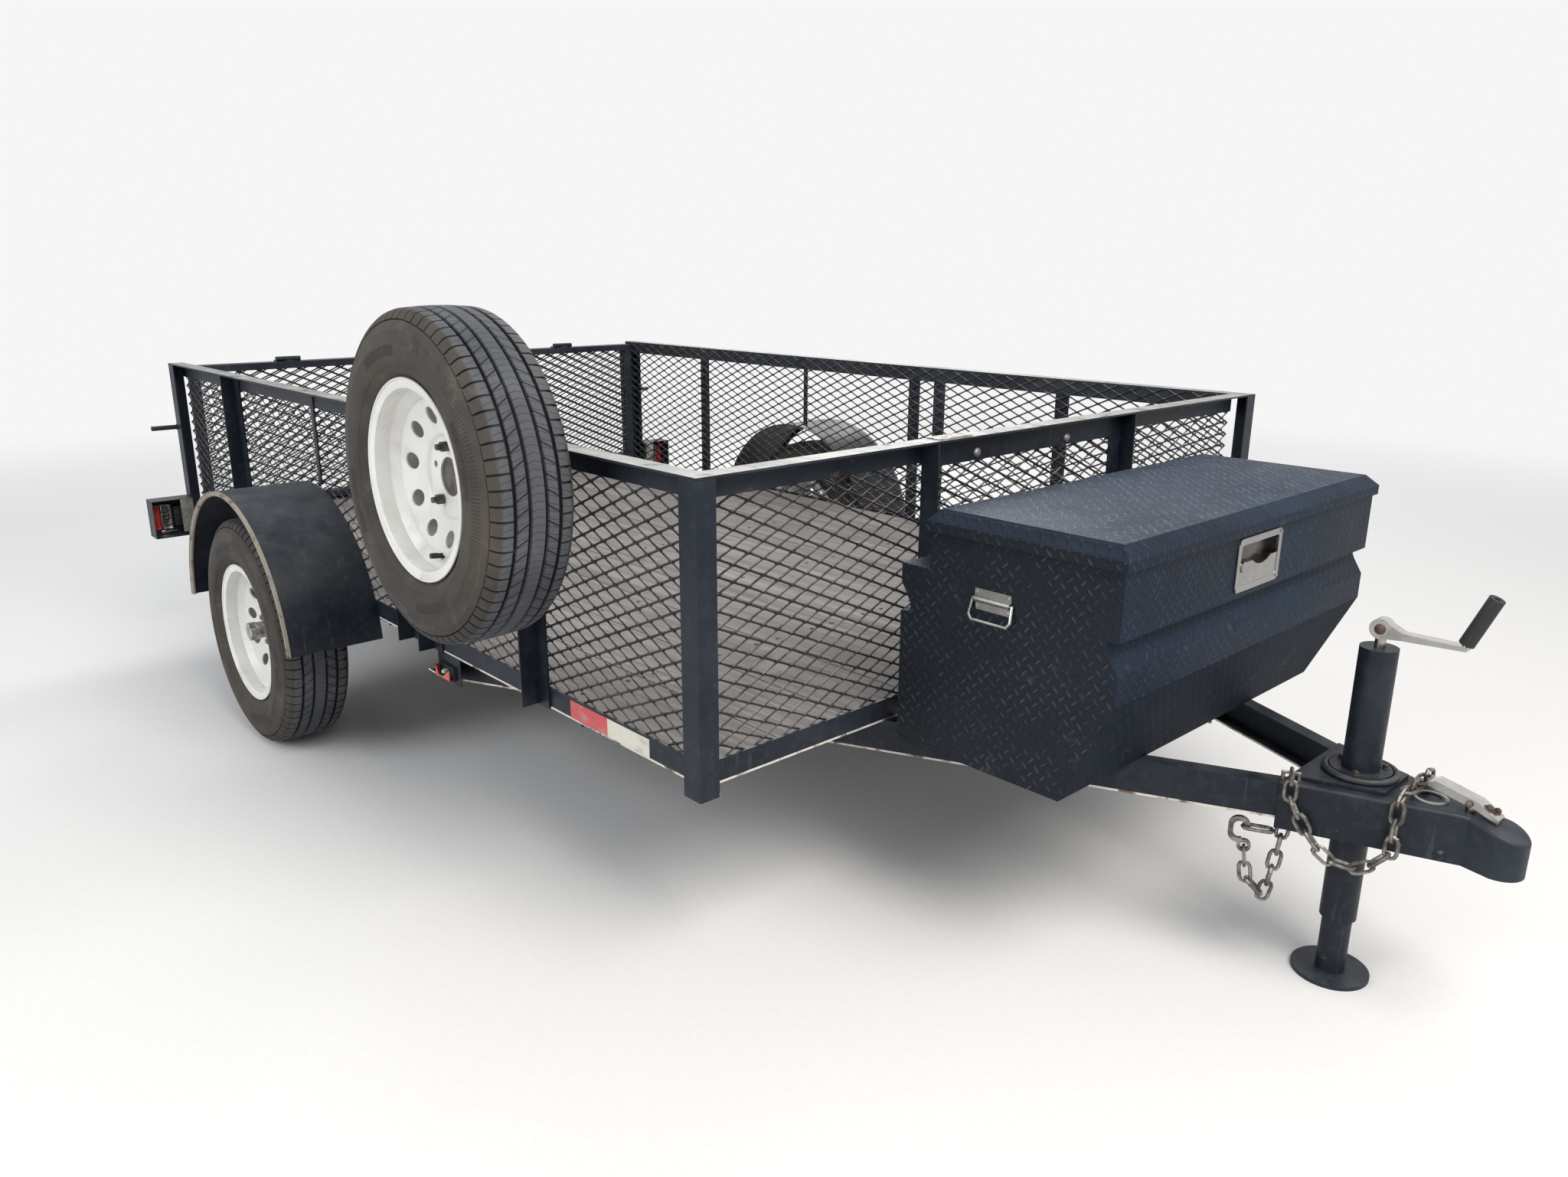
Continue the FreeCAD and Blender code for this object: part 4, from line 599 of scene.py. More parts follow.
@dataclass(frozen=True)
class WornPaint:
    """Dark enamel on steel, chalked, scratched and dusty, with rust in its chips."""

    name: str = "worn_paint"
    colour: tuple = (0.0065, 0.0095, 0.0165)
    faded: tuple = (0.022, 0.029, 0.040)
    chip: tuple = (0.17, 0.14, 0.12)
    # Pale bare steel; along a low edge this colour is a painted highlight.
    bare: tuple = (0.62, 0.60, 0.54)
    gloss: float = 0.40
    chips: float = 0.45
    # Height of a low edge that gets a painted highlight, drawn as pale bare steel.
    low_edge_highlight: float = 0.0
    out_edge: float = 0.0

    def build(self) -> bpy.types.Material:
        """Build the finish's nodes.

        Returns:
            The material.
        """
        s = Shader(self.name)
        clouds = s.noise(3.0, 6.0)
        base = s.blend(s.ramp(clouds, 0.35, 0.75), self.colour, self.faded)
        mottle = s.ramp(s.noise(45.0, 6.0), 0.45, 0.75, 0.0, 0.35)
        base = s.blend(mottle, base, (0.040, 0.044, 0.050))
        dust = s.math("MULTIPLY", s.upward(0.3, 0.95), s.ramp(s.noise(14.0, 5.0), 0.3, 0.7))
        base = s.blend(s.math("MULTIPLY", dust, 0.22), base, (0.15, 0.145, 0.14))
        streak = s.ramp(s.noise(60.0, 3.0, (1, 1, 0.06)), 0.62, 0.72)
        base = s.blend(s.math("MULTIPLY", streak, 0.2), base, (0.09, 0.092, 0.10))
        chip = s.math("MULTIPLY", s.ramp(s.noise(38.0, 8.0), 0.66, 0.70), s.ramp(s.noise(5.0, 2.0), 0.5, 0.7))
        chip = s.math("MULTIPLY", chip, self.chips)
        base = s.blend(chip, base, self.chip)
        if self.low_edge_highlight or self.out_edge:
            # Bare steel where paint is worn off an outer edge; along a low edge the same colour is a painted
            # highlight.
            bare_edge_and_highlight = self.bare_edge_and_highlight(s)
            edge_steel_and_highlight = s.blend(s.ramp(s.noise(24.0, 6.0), 0.5, 0.65), self.bare, (0.16, 0.095, 0.06))
            base = s.blend(bare_edge_and_highlight, base, edge_steel_and_highlight)
        s.set(Base_Color=base, Roughness=s.ramp(clouds, 0.2, 0.8, self.gloss - 0.08, self.gloss + 0.2))
        s.set(Specular_IOR_Level=0.24)
        s.bump(s.noise(220.0, 3.0), 0.25, 0.0006)
        s.bump(chip, 0.4, 0.0005)
        return s.material

    def bare_edge_and_highlight(self, s: Shader) -> Socket:
        """Where the paint is gone from an outer edge, and where a painted highlight lies along a low edge.

        Args:
            s: The material's nodes so far.

        Returns:
            The share of bare steel and painted highlight.
        """
        patches = s.ramp(s.noise(17.0, 6.0, (0.25, 1, 1)), 0.28, 0.40)
        if self.out_edge:
            out = s.math("ABSOLUTE", s.math("SUBTRACT", s.axis(s.place, "Y"), CENTRE_Y))
            return s.math("MULTIPLY", s.ramp(out, self.out_edge - 0.0015, self.out_edge), patches)
        # On upright faces near a low edge: painted highlight.
        upright = s.ramp(s.math("ABSOLUTE", s.axis(s.facing, "Z")), 0.6, 0.3)
        low = s.ramp(s.axis(s.place, "Z"), self.low_edge_highlight + 0.0006, self.low_edge_highlight)
        return s.math("MULTIPLY", s.math("MULTIPLY", low, upright), patches)


@dataclass(frozen=True)
class HighlitTopRail:
    """The rails' dark paint, with a painted sun highlight on their tops drawn as dull zinc."""

    name: str = "highlit_top_rail"

    def build(self) -> bpy.types.Material:
        """Build the finish's nodes.

        Returns:
            The material.
        """
        s = Shader(self.name)
        clouds = s.noise(4.0, 6.0)
        paint = s.blend(s.ramp(clouds, 0.3, 0.75), (0.008, 0.011, 0.018), (0.032, 0.038, 0.048))
        # Pale zinc colour of the painted highlight on the rails' tops.
        zinc = s.blend(s.ramp(s.noise(26.0, 6.0, (0.3, 1, 1)), 0.3, 0.7), (0.20, 0.20, 0.20),
                       (0.35, 0.345, 0.325))
        # Painted highlight in patches on the faces that look up.
        top_highlight = s.math("MULTIPLY", s.upward(0.6, 0.9), s.ramp(s.noise(19.0, 7.0), 0.30, 0.46))
        base = s.blend(top_highlight, paint, zinc)
        rust = s.ramp(s.noise(31.0, 9.0), 0.62, 0.69)
        base = s.blend(s.math("MULTIPLY", rust, 0.45), base, (0.13, 0.08, 0.055))
        s.set(Base_Color=base, Metallic=s.math("MULTIPLY", top_highlight, 0.3),
              Roughness=s.ramp(clouds, 0.2, 0.8, 0.42, 0.64))
        s.set(Specular_IOR_Level=0.25)
        s.bump(s.noise(180.0, 3.0), 0.25, 0.0006)
        return s.material


@dataclass(frozen=True)
class StrandSteel:
    """Expanded sheet: old dark paint, paler and partly metallic on faces that look up, with traces of rust.
    """

    name: str = "strand_steel"

    def build(self) -> bpy.types.Material:
        """Build the finish's nodes.

        Returns:
            The material.
        """
        s = Shader(self.name)
        clouds = s.noise(2.2, 5.0)
        base = s.blend(s.ramp(clouds, 0.35, 0.7), (0.012, 0.014, 0.020), (0.060, 0.060, 0.064))
        # Strand faces that look up are drawn paler and partly metallic.
        bare = s.math("MULTIPLY", s.ramp(s.axis(s.facing, "Z"), 0.2, 0.7),
                      s.ramp(s.noise(30.0, 5.0), 0.35, 0.65))
        base = s.blend(s.math("MULTIPLY", bare, 0.55), base, (0.30, 0.285, 0.265))
        rust = s.math("MULTIPLY", s.ramp(s.noise(11.0, 8.0), 0.56, 0.7), 0.5)
        base = s.blend(rust, base, (0.12, 0.068, 0.042))
        s.set(Base_Color=base, Roughness=s.ramp(clouds, 0.2, 0.8, 0.42, 0.66),
              Metallic=s.math("MULTIPLY", bare, 0.3))
        s.set(Specular_IOR_Level=0.25)
        s.bump(s.noise(300.0, 2.0), 0.3, 0.0004)
        return s.material


@dataclass(frozen=True)
class WeatheredBoard:
    """Grey weathered softwood with grain, checks and stains."""

    name: str = "weathered_board"

    def build(self) -> bpy.types.Material:
        """Build the finish's nodes.

        Returns:
            The material.
        """
        s = Shader(self.name)
        across = s.math("DIVIDE", s.math("ADD", s.axis(s.place, "Y"), BOARD_EDGE - CENTRE_Y), BOARD)
        each = s.math("FLOOR", across)
        own = s.node("ShaderNodeTexWhiteNoise", {"W": each}, noise_dimensions="1D").outputs["Value"]
        grain = s.noise(9.0, 8.0, (0.12, 5.0, 5.0), 0.7)
        fine = s.noise(60.0, 4.0, (0.05, 5.0, 5.0), 0.6)
        base = s.blend(s.ramp(grain, 0.3, 0.72), (0.135, 0.125, 0.12), (0.33, 0.31, 0.295))
        base = s.blend(s.ramp(own, 0.0, 1.0, 0.0, 0.4), base, (0.19, 0.17, 0.155))
        base = s.blend(s.ramp(fine, 0.55, 0.7, 0.0, 0.6), base, (0.085, 0.078, 0.072))
        stain = s.ramp(s.noise(2.4, 5.0), 0.5, 0.75, 0.0, 0.55)
        base = s.blend(stain, base, (0.13, 0.105, 0.09))
        pale = s.ramp(s.noise(5.5, 8.0), 0.6, 0.72, 0.0, 0.35)
        base = s.blend(pale, base, (0.42, 0.39, 0.36))
        s.set(Base_Color=base, Roughness=0.85, Specular_IOR_Level=0.3)
        s.bump(fine, 0.5, 0.0015)
        s.bump(grain, 0.4, 0.002)
        return s.material


@dataclass(frozen=True)
class TreadPlate:
    """Black painted sheet with raised lugs, their tops carrying a painted blue sky sheen, with painted shade
    underneath and greyer painted light on the ends.
    """

    name: str = "tread_plate"
    pitch: float = 0.0285
    lug_long: float = 0.55
    lug_thin: float = 0.17

    def lugs(self, s: Shader, u: Socket, v: Socket) -> Socket:
        """Raised lugs in two crossing rows on one face.

        Args:
            s: The material's nodes so far.
            u: The place along the face.
            v: The place up the face.

        Returns:
            The lugs' height, from 0 to 1.
        """
        rows = []
        for shift, lean in ((0.0, 1.0), (0.5, -1.0)):
            a = s.math("ADD", s.math("DIVIDE", u, self.pitch), shift)
            b = s.math("ADD", s.math("DIVIDE", v, self.pitch), shift)
            a = s.math("SUBTRACT", s.math("FRACT", a), 0.5)
            b = s.math("SUBTRACT", s.math("FRACT", b), 0.5)
            along = s.math("ADD", a, s.math("MULTIPLY", b, lean))
            aside = s.math("SUBTRACT", a, s.math("MULTIPLY", b, lean))
            long_part = s.math("POWER", s.math("DIVIDE", along, self.lug_long), 2.0)
            thin_part = s.math("POWER", s.math("DIVIDE", aside, self.lug_thin), 2.0)
            rows.append(s.ramp(s.math("ADD", long_part, thin_part), 1.0, 0.45))
        return s.math("MAXIMUM", rows[0], rows[1])

    def build(self) -> bpy.types.Material:
        """Build the finish's nodes.

        Returns:
            The material.
        """
        s = Shader(self.name)
        x, y, z = (s.axis(s.place, n) for n in "XYZ")
        side = s.ramp(s.math("ABSOLUTE", s.axis(s.facing, "Y")), 0.6, 0.8)
        top = s.upward(0.7, 0.9)
        front = self.lugs(s, y, z)
        ends = self.lugs(s, x, z)
        lids = self.lugs(s, x, y)
        pattern = s.math("ADD", s.math("MULTIPLY", front, s.math("SUBTRACT", 1.0, side)),
                         s.math("MULTIPLY", ends, side))
        pattern = s.math("ADD", s.math("MULTIPLY", pattern, s.math("SUBTRACT", 1.0, top)),
                         s.math("MULTIPLY", lids, top))
        clouds = s.noise(3.0, 6.0)
        base = s.blend(s.ramp(clouds, 0.3, 0.75), (0.0055, 0.0095, 0.0180), (0.013, 0.021, 0.037))
        # Faces that look down are painted darker: painted shade.
        under = s.ramp(s.axis(s.facing, "Z"), -0.2, -0.5)
        base = s.blend(s.math("MULTIPLY", under, 0.6), base, (0.0035, 0.0055, 0.0095))
        # End faces painted greyer than the fronts: painted light.
        base = s.blend(s.math("MULTIPLY", side, 0.65), base, (0.0165, 0.0170, 0.0190))
        # Painted blue sky sheen on the lugs, strongest on the lid's top.
        lug_sheen = s.math("MULTIPLY", s.ramp(pattern, 0.5, 1.0), s.ramp(s.noise(20.0, 5.0), 0.35, 0.65))
        share = s.math("ADD", s.math("MULTIPLY", side, 0.10), s.math("MULTIPLY", top, 0.75))
        share = s.math("MULTIPLY", lug_sheen, s.math("ADD", share, 0.12))
        base = s.blend(share, base, (0.105, 0.15, 0.225))
        rust = s.math("MULTIPLY", s.ramp(s.noise(26.0, 8.0), 0.6, 0.7), s.ramp(s.noise(3.0, 3.0), 0.45, 0.65))
        base = s.blend(s.math("MULTIPLY", rust, 0.4), base, (0.12, 0.085, 0.06))
        # Dust on faces that look up, tinted blue by a painted sky sheen.
        dust = s.math("MULTIPLY", s.upward(0.4, 0.95), s.ramp(s.noise(8.0, 6.0), 0.3, 0.7, 0.05, 0.28))
        base = s.blend(s.math("MULTIPLY", dust, s.ramp(pattern, 0.0, 0.6, 1.0, 0.5)), base,
                       (0.045, 0.072, 0.118))
        rough = s.math("MAXIMUM", s.ramp(clouds, 0.2, 0.8, 0.40, 0.58), s.math("MULTIPLY", under, 0.9))
        s.set(Base_Color=base, Roughness=rough, Specular_IOR_Level=0.10)
        s.bump(s.noise(160.0, 3.0), 0.15, 0.0005)
        s.bump(pattern, 1.0, 0.0018)
        return s.material


@dataclass(frozen=True)
class Chrome:
    """Plated steel, dulled in patches and spotted with rust, with a painted reflection dark below and bright
    above, and painted shade behind a given front.
    """

    name: str = "chrome"
    tarnish: float = 0.35
    # Behind this place along the trailer the chrome is painted dark: painted shade in a recess.
    front: float = 0.0

    def build(self) -> bpy.types.Material:
        """Build the finish's nodes.

        Returns:
            The material.
        """
        s = Shader(self.name)
        patches = s.noise(26.0, 6.0)
        dull = s.ramp(patches, 0.4, 0.7, 0.0, self.tarnish)
        # Painted reflection: dark on faces that look down, bright on faces that look up.
        plate = s.blend(s.ramp(s.axis(s.facing, "Z"), -0.7, 0.8), (0.15, 0.145, 0.14), (0.62, 0.61, 0.58))
        base = s.blend(dull, plate, (0.18, 0.17, 0.155))
        spots = s.ramp(s.noise(150.0, 3.0), 0.66, 0.72, 0.0, 0.7)
        base = s.blend(spots, base, (0.20, 0.11, 0.06))
        # Painted shade behind the front.
        if self.front:
            deep = s.ramp(s.axis(s.place, "X"), self.front, self.front - 0.004)
            base = s.blend(s.math("MULTIPLY", deep, 0.85), base, (0.055, 0.052, 0.048))
        s.set(Base_Color=base, Metallic=1.0, Roughness=s.ramp(patches, 0.35, 0.7, 0.12, 0.36))
        s.bump(s.noise(70.0, 3.0), 0.05, 0.0004)
        return s.material


@dataclass(frozen=True)
class WheelEnamel:
    """White wheel enamel with brake dust, chips and rust at its edges."""

    name: str = "wheel_enamel"

    def build(self) -> bpy.types.Material:
        """Build the finish's nodes.

        Returns:
            The material.
        """
        s = Shader(self.name)
        clouds = s.noise(7.0, 6.0)
        base = s.blend(s.ramp(clouds, 0.3, 0.75), (0.74, 0.73, 0.70), (0.60, 0.59, 0.56))
        grime = s.ramp(s.noise(16.0, 7.0), 0.5, 0.75, 0.0, 0.30)
        base = s.blend(grime, base, (0.30, 0.26, 0.22))
        rust = s.ramp(s.noise(48.0, 8.0), 0.68, 0.72, 0.0, 0.6)
        base = s.blend(rust, base, (0.27, 0.13, 0.06))
        s.set(Base_Color=base, Roughness=s.ramp(clouds, 0.2, 0.8, 0.22, 0.42), Coat_Weight=0.3,
              Coat_Roughness=0.15)
        s.bump(s.noise(200.0, 3.0), 0.12, 0.0004)
        return s.material


@dataclass(frozen=True)
class Rubber:
    """Plain moulded rubber, greyed and dusty."""

    name: str = "grip_rubber"
    colour: tuple = (0.012, 0.012, 0.013)
    dust: tuple = (0.07, 0.068, 0.065)

    def build(self) -> bpy.types.Material:
        """Build the finish's nodes.

        Returns:
            The material.
        """
        s = Shader(self.name)
        clouds = s.noise(5.0, 7.0)
        base = s.blend(s.ramp(clouds, 0.35, 0.75, 0.05, 0.55), self.colour, self.dust)
        s.set(Base_Color=base, Roughness=s.ramp(clouds, 0.2, 0.8, 0.55, 0.8), Specular_IOR_Level=0.35)
        s.bump(s.noise(160.0, 5.0), 0.3, 0.0006)
        return s.material


@dataclass(frozen=True)
class TyreRubber:
    """A tyre's rubber: dusty blue-grey ribs, grooves, sipes and notches painted near-black as painted shade,
    brown-grey walls with fine ribs.
    """

    name: str
    x: float
    z: float
    middle: float
    wall: tuple = (0.036, 0.032, 0.028)
    ribs: tuple = (0.098, 0.104, 0.114)
    bead_rings: tuple = (0.231, 0.246)
    hatched: tuple = (0.250, 0.271)
    serrated: tuple = (0.279, 0.300)
    worn: tuple = (0.281, 0.302)
    notched: tuple = (0.0215, 0.0445)

    def build(self) -> bpy.types.Material:
        """Build the finish's nodes.

        Returns:
            The material.
        """
        s = Shader(self.name)
        angle, reach = s.round(self.x, self.z)
        across = s.math("ABSOLUTE", s.math("SUBTRACT", s.axis(s.place, "Y"), self.middle))
        clouds = s.noise(6.0, 7.0)
        crown = s.ramp(reach, 0.3375, 0.3405)
        wall = s.blend(s.ramp(clouds, 0.35, 0.72), self.wall, (0.072, 0.062, 0.053))
        tread = s.blend(s.ramp(clouds, 0.3, 0.7), (0.056, 0.060, 0.069), self.ribs)
        base = s.blend(crown, wall, tread)
        bands = s.math("MULTIPLY", s.between(reach, *self.hatched),
                       s.ramp(s.pulses(angle, 4.0, 0.36, 0.01), 0.0, 1.0))
        base = s.blend(s.math("MULTIPLY", bands, 0.55), base, (0.016, 0.015, 0.014))
        worn = s.math("MULTIPLY", s.between(reach, *self.worn, 0.004), s.ramp(s.noise(13.0, 7.0), 0.4, 0.6))
        base = s.blend(s.math("MULTIPLY", worn, 0.5), base, (0.105, 0.088, 0.072))
        # Grooves painted near-black below the ribs: painted shade.
        deep = s.math("MULTIPLY", s.ramp(reach, 0.3385, 0.3372), s.ramp(across, 0.056, 0.053))
        base = s.blend(s.math("MULTIPLY", deep, 0.9), base, (0.006, 0.006, 0.007))
        # Sipes and shoulder notches drawn near-black: painted shade in the slits, with bumps for their cuts.
        sipes = s.math("MULTIPLY", s.pulses(self.slanted(s, angle, across, 0.9), 144.0, 0.08, 0.05), crown)
        notches = s.pulses(self.slanted(s, angle, across, 1.8), 72.0, 0.13, 0.03)
        notches = s.math("MULTIPLY", notches, s.between(across, *self.notched, 0.0005))
        sipes = s.math("MAXIMUM", s.math("MULTIPLY", sipes, 0.7), s.math("MULTIPLY", notches, crown))
        base = s.blend(s.math("MULTIPLY", sipes, 0.85), base, (0.009, 0.009, 0.010))
        scuff = s.ramp(s.noise(24.0, 8.0), 0.58, 0.7, 0.0, 0.4)
        base = s.blend(scuff, base, (0.12, 0.105, 0.09))
        fine = s.math("MULTIPLY", s.pulses(angle, 240.0, 0.4, 0.15), s.between(reach, *self.serrated))
        base = s.blend(s.math("MULTIPLY", fine, 0.45), base, (0.018, 0.016, 0.014))
        s.set(Base_Color=base, Roughness=s.ramp(clouds, 0.2, 0.8, 0.55, 0.8), Specular_IOR_Level=0.2)
        hatch = s.math("MULTIPLY", s.pulses(angle, 240.0, 0.5, 0.15), bands)
        rings = s.math("MULTIPLY", s.pulses(reach, 2 * math.pi / 0.005, 0.4, 0.2),
                       s.between(reach, *self.bead_rings))
        s.bump(s.noise(120.0, 5.0), 0.25, 0.0006)
        s.bump(s.math("SUBTRACT", s.math("ADD", s.math("ADD", fine, hatch), rings), sipes), 0.7, 0.0012)
        return s.material

    def slanted(self, s: Shader, angle: Socket, across: Socket, slope: float) -> Socket:
        """The angle shifted across the tread, so that sipes lie slanted."""
        return s.math("ADD", angle, s.math("MULTIPLY", across, slope))


@dataclass(frozen=True)
class HubSteel:
    """Bare turned steel, greasy brown inboard and dull grey at its face."""

    name: str = "hub_steel"
    clean: tuple = (0.34, 0.34, 0.32)
    grease: tuple = (0.040, 0.032, 0.027)

    def build(self) -> bpy.types.Material:
        """Build the finish's nodes.

        Returns:
            The material.
        """
        s = Shader(self.name)
        clouds = s.noise(30.0, 6.0)
        grime = s.ramp(clouds, 0.38, 0.62)
        base = s.blend(grime, self.clean, self.grease)
        rust = s.ramp(s.noise(70.0, 6.0), 0.6, 0.7, 0.0, 0.6)
        base = s.blend(rust, base, (0.16, 0.09, 0.055))
        s.set(Base_Color=base, Metallic=s.ramp(clouds, 0.38, 0.62, 0.8, 0.1),
              Roughness=s.ramp(clouds, 0.3, 0.7, 0.35, 0.6))
        s.bump(clouds, 0.3, 0.0008)
        return s.material


@dataclass(frozen=True)
class ChainSteel:
    """Galvanised chain, worn bright on its outsides, brown in its laps."""

    name: str = "chain_steel"

    def build(self) -> bpy.types.Material:
        """Build the finish's nodes.

        Returns:
            The material.
        """
        s = Shader(self.name)
        clouds = s.noise(42.0, 6.0)
        base = s.blend(s.ramp(clouds, 0.35, 0.65), (0.27, 0.26, 0.24), (0.10, 0.09, 0.08))
        rust = s.ramp(s.noise(23.0, 7.0), 0.52, 0.66, 0.0, 0.75)
        base = s.blend(rust, base, (0.10, 0.060, 0.042))
        s.set(Base_Color=base, Metallic=0.75, Roughness=s.ramp(clouds, 0.3, 0.7, 0.32, 0.6))
        s.bump(clouds, 0.25, 0.0008)
        return s.material


@dataclass(frozen=True)
class Lens:
    """A moulded lamp lens with fine prisms inside and road film outside."""

    name: str
    colour: tuple
    ribs: float = 260.0

    def build(self) -> bpy.types.Material:
        """Build the finish's nodes.

        Returns:
            The material.
        """
        s = Shader(self.name)
        wave = s.node("ShaderNodeTexWave", {"Vector": s.place, "Scale": self.ribs / 6, "Distortion": 0.3},
                      bands_direction="Y").outputs["Fac"]
        film = s.ramp(s.noise(20.0, 6.0), 0.4, 0.8, 0.0, 0.18)
        deep = tuple(c * 0.55 for c in self.colour)
        base = s.blend(s.ramp(wave, 0.2, 0.8, 0.2, 1.0), deep, self.colour)
        base = s.blend(film, base, (0.22, 0.15, 0.13))
        s.set(Base_Color=base, Roughness=s.ramp(film, 0.0, 0.18, 0.14, 0.4), Transmission_Weight=0.15)
        s.set(Coat_Weight=0.25, Coat_Roughness=0.12, Specular_IOR_Level=0.35)
        s.bump(wave, 0.35, 0.0008)
        return s.material


@dataclass(frozen=True)
class ClearPlastic:
    """Clear moulded plastic or glass, yellowed and filmed."""

    name: str = "clear_plastic"

    def build(self) -> bpy.types.Material:
        """Build the finish's nodes.

        Returns:
            The material.
        """
        s = Shader(self.name)
        film = s.ramp(s.noise(40.0, 5.0), 0.35, 0.75, 0.0, 0.4)
        base = s.blend(film, (0.78, 0.77, 0.70), (0.45, 0.42, 0.35))
        s.set(Base_Color=base, Roughness=s.ramp(film, 0.0, 0.4, 0.06, 0.3), Transmission_Weight=0.35)
        s.bump(s.noise(220.0, 2.0), 0.15, 0.0004)
        return s.material


@dataclass(frozen=True)
class RibbedSleeve:
    """Split plastic wiring sleeve, ribbed round its length."""

    x: float
    y: float
    name: str = "ribbed_sleeve"

    def build(self) -> bpy.types.Material:
        """Build the finish's nodes.

        Returns:
            The material.
        """
        s = Shader(self.name)
        a = s.math("SUBTRACT", s.axis(s.place, "X"), self.x)
        b = s.math("SUBTRACT", s.axis(s.place, "Y"), self.y)
        ribs = s.pulses(s.math("ARCTAN2", b, a), 120.0, 0.45, 0.12)
        dust = s.ramp(s.noise(18.0, 5.0), 0.35, 0.7, 0.0, 0.5)
        base = s.blend(dust, (0.014, 0.016, 0.020), (0.075, 0.075, 0.075))
        base = s.blend(s.math("MULTIPLY", ribs, 0.3), base, (0.085, 0.09, 0.095))
        s.set(Base_Color=base, Roughness=0.5)
        s.bump(ribs, 1.0, 0.0014)
        return s.material


@dataclass(frozen=True)
class Tape:
    """Prismatic reflective tape: small cells under a scuffed face."""

    name: str
    colour: tuple

    def build(self) -> bpy.types.Material:
        """Build the finish's nodes.

        Returns:
            The material.
        """
        s = Shader(self.name)
        cells = s.cells(420.0, (1, 0.2, 1))
        pale = tuple(min(1.0, c * 1.25 + 0.03) for c in self.colour)
        base = s.blend(s.ramp(cells, 0.1, 0.6), self.colour, pale)
        scuff = s.ramp(s.noise(30.0, 7.0, (0.4, 1, 1)), 0.5, 0.68, 0.0, 0.7)
        base = s.blend(scuff, base, (0.33, 0.31, 0.29))
        s.set(Base_Color=base, Roughness=s.ramp(scuff, 0.0, 0.7, 0.25, 0.6))
        s.bump(cells, 0.2, 0.0003)
        return s.material


BLACK_PLASTIC = Rubber("black_plastic", (0.010, 0.011, 0.012), (0.04, 0.04, 0.04))
RED_LENS = Lens("red_lens", (0.55, 0.022, 0.018))


@dataclass
class Finishes:
    """Every finish on the trailer, built once and handed to the pieces."""

    made: dict = field(default_factory=dict)

    def get(self, finish: Finish) -> bpy.types.Material:
        """Find a finish's material, built when it is first asked for.

        Args:
            finish: The finish.

        Returns:
            The material.
        """
        if finish.name not in self.made:
            self.made[finish.name] = finish.build()
        return self.made[finish.name]

    def node(self, name: str, finish: Finish) -> None:
        """Give a solid of the frame a finish, if the frame has that solid.

        Args:
            name: The solid's name.
            finish: Its finish.
        """
        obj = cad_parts.get(name)
        if obj is None:
            LOG.info("no solid named %s", name)
            return
        obj.data.materials.clear()
        obj.data.materials.append(self.get(finish))
        LOG.info("dressed %s", name)

    def piece(self, obj: bpy.types.Object, finish: Finish, body: str = CHASSIS) -> bpy.types.Object:
        """Give a new piece its finish and its body.

        Args:
            obj: The piece.
            finish: Its finish.
            body: The body that it moves with.

        Returns:
            The piece.
        """
        obj.data.materials.clear()
        obj.data.materials.append(self.get(finish))
        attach(obj, body)
        LOG.info("made %s, %d faces", obj.name, len(obj.data.polygons))
        return obj


@dataclass(frozen=True)
class Softbox:
    """A square softbox: its place, side, power and colour."""

    name: str
    place: tuple
    size: float
    power: float
    tint: tuple


